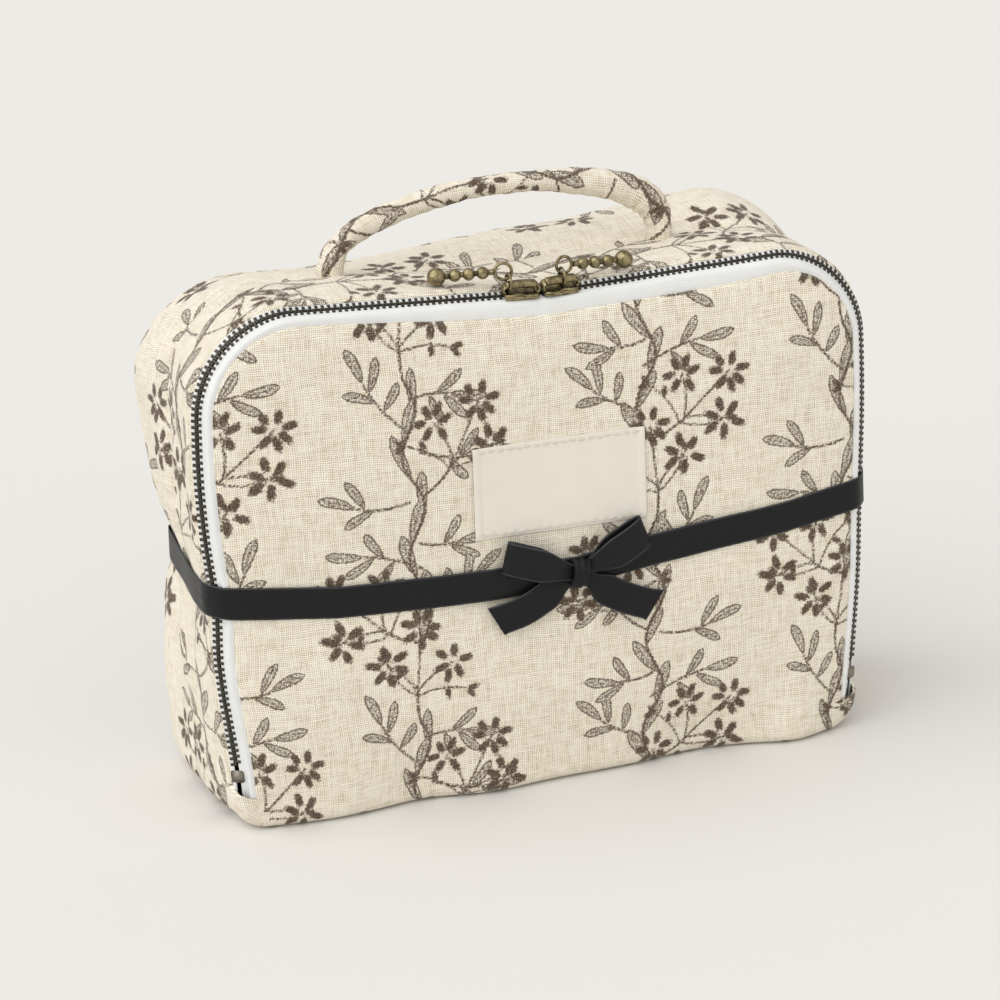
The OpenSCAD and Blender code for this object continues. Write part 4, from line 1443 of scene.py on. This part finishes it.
def cast_bar(path, half_across, half_up, square, around=24, steps=60):
    """A bar with rounded-square sections and rounded ends; half sizes may be lists along it."""
    path = curve_through(path, steps)
    t = np.linspace(0, 1, steps)
    across = np.interp(t, np.linspace(0, 1, len(half_across)), half_across)
    up = np.interp(t, np.linspace(0, 1, len(half_up)), half_up)
    end = np.minimum(t, 1 - t) * steps / 5
    ease = np.sqrt(1 - (1 - np.clip(end, 0.02, 1)) ** 2)
    ahead = unit(np.gradient(path, axis=0))
    side = np.broadcast_to([0, 1.0, 0], path.shape)
    lift = np.cross(side, ahead)
    a = np.linspace(0, 2 * math.pi, around, endpoint=False)
    c = np.sign(np.cos(a)) * np.abs(np.cos(a)) ** square
    d = np.sign(np.sin(a)) * np.abs(np.sin(a)) ** square
    ring = (
        path[:, None] + side[:, None] * (c[None] * (across * ease)[:, None])[..., None]
        + lift[:, None] * (d[None] * (up * ease)[:, None])[..., None]
    )
    return ring, tube_faces(steps, around)


def cast_piece(node, bars, side, body):
    points, faces = joined(bars)
    piece = add_mesh(node + "_cast", on_slider(points, side), [f[::-side] for f in faces], BRASS, body)
    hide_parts(node)


RIDGE = [
    (0.9, 2.6, 2.0), (2.6, 3.7, 2.5), (5.6, 3.5, 2.2), (8.4, 2.4, 2.2), (11.0, 3.0, 2.3), (13.8, 2.6, 2.0),
]


def slider_body():
    """Two plates with turned-in rails; the upper one carries low curved ridges."""
    widths = [3.5, 4.3, 4.3, 4.2, 3.9, 3.7, 3.6, 3.3]
    plates = (1.6, 1.65, 1.6), (-1.6, -1.6, -1.6)
    bars = [cast_bar(list(zip((0.3, 7.2, 14.3), (0, 0, 0), zs)), widths, [0.5], 0.42) for zs in plates]
    for y in (-1, 1):
        for z in (-1, 1):
            rail = [(6.0, y * 3.8, z * 1.5), (10, y * 3.6, z * 1.0), (14.0, y * 3.4, z * 1.0)]
            bars.append(cast_bar(rail, [0.35], [0.55], 0.6))
        ridge = [(x, y * half, z) for x, half, z in RIDGE]
        bars.append(cast_bar(ridge, [0.6, 0.75, 0.6], [0.5], 0.9))
    return bars


def slider_bail():
    """A thick roll held above the plate by a flat leg at each end."""
    roll = [(1.6, 0, 4.9), (7.6, 0, 5.15), (13.6, 0, 4.9)]
    near_leg = [(1.9, 0, 2.0), (0.9, 0, 3.0), (1.0, 0, 4.2), (2.2, 0, 5.1)]
    far_leg = [(12.6, 0, 5.1), (14.1, 0, 4.2), (14.2, 0, 3.0), (13.0, 0, 2.0)]
    return [
        cast_bar(roll, [1.75, 1.7, 1.65], [1.35, 1.4, 1.3], 0.9, around=28),
        cast_bar(near_leg, [2.6, 2.0, 1.5], [0.45], 0.6, steps=30),
        cast_bar(far_leg, [1.5, 1.8, 2.2], [0.45], 0.6, steps=30),
    ]


def make_sliders():
    for side, word in ((-1, "left"), (1, "right")):
        cast_piece("slider_" + word, slider_body(), side, word + "_slider")
        cast_piece("slider_bail_" + word, slider_bail(), side, word + "_slider")


def dress_metal():
    """The links and the pulls keep the frame's own shapes."""
    for word in ("left", "right"):
        for node in ("link_", "pull_"):
            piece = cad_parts[node + word]
            piece.data.materials.clear()
            piece.data.materials.append(BRASS)


make_camera()
make_stage()
make_front_gauze()
make_gusset_gauze()
make_base_gauze()
make_back_gauze()
make_front_padding()
make_back_padding()
make_gusset_padding()
make_base_padding()
make_foot_padding()
make_teeth()
make_tapes()
make_stops()
make_handle()
make_label()
make_label_stitches()
make_bow(make_ribbon())
make_bindings()
make_pocket()
make_sliders()
dress_metal()
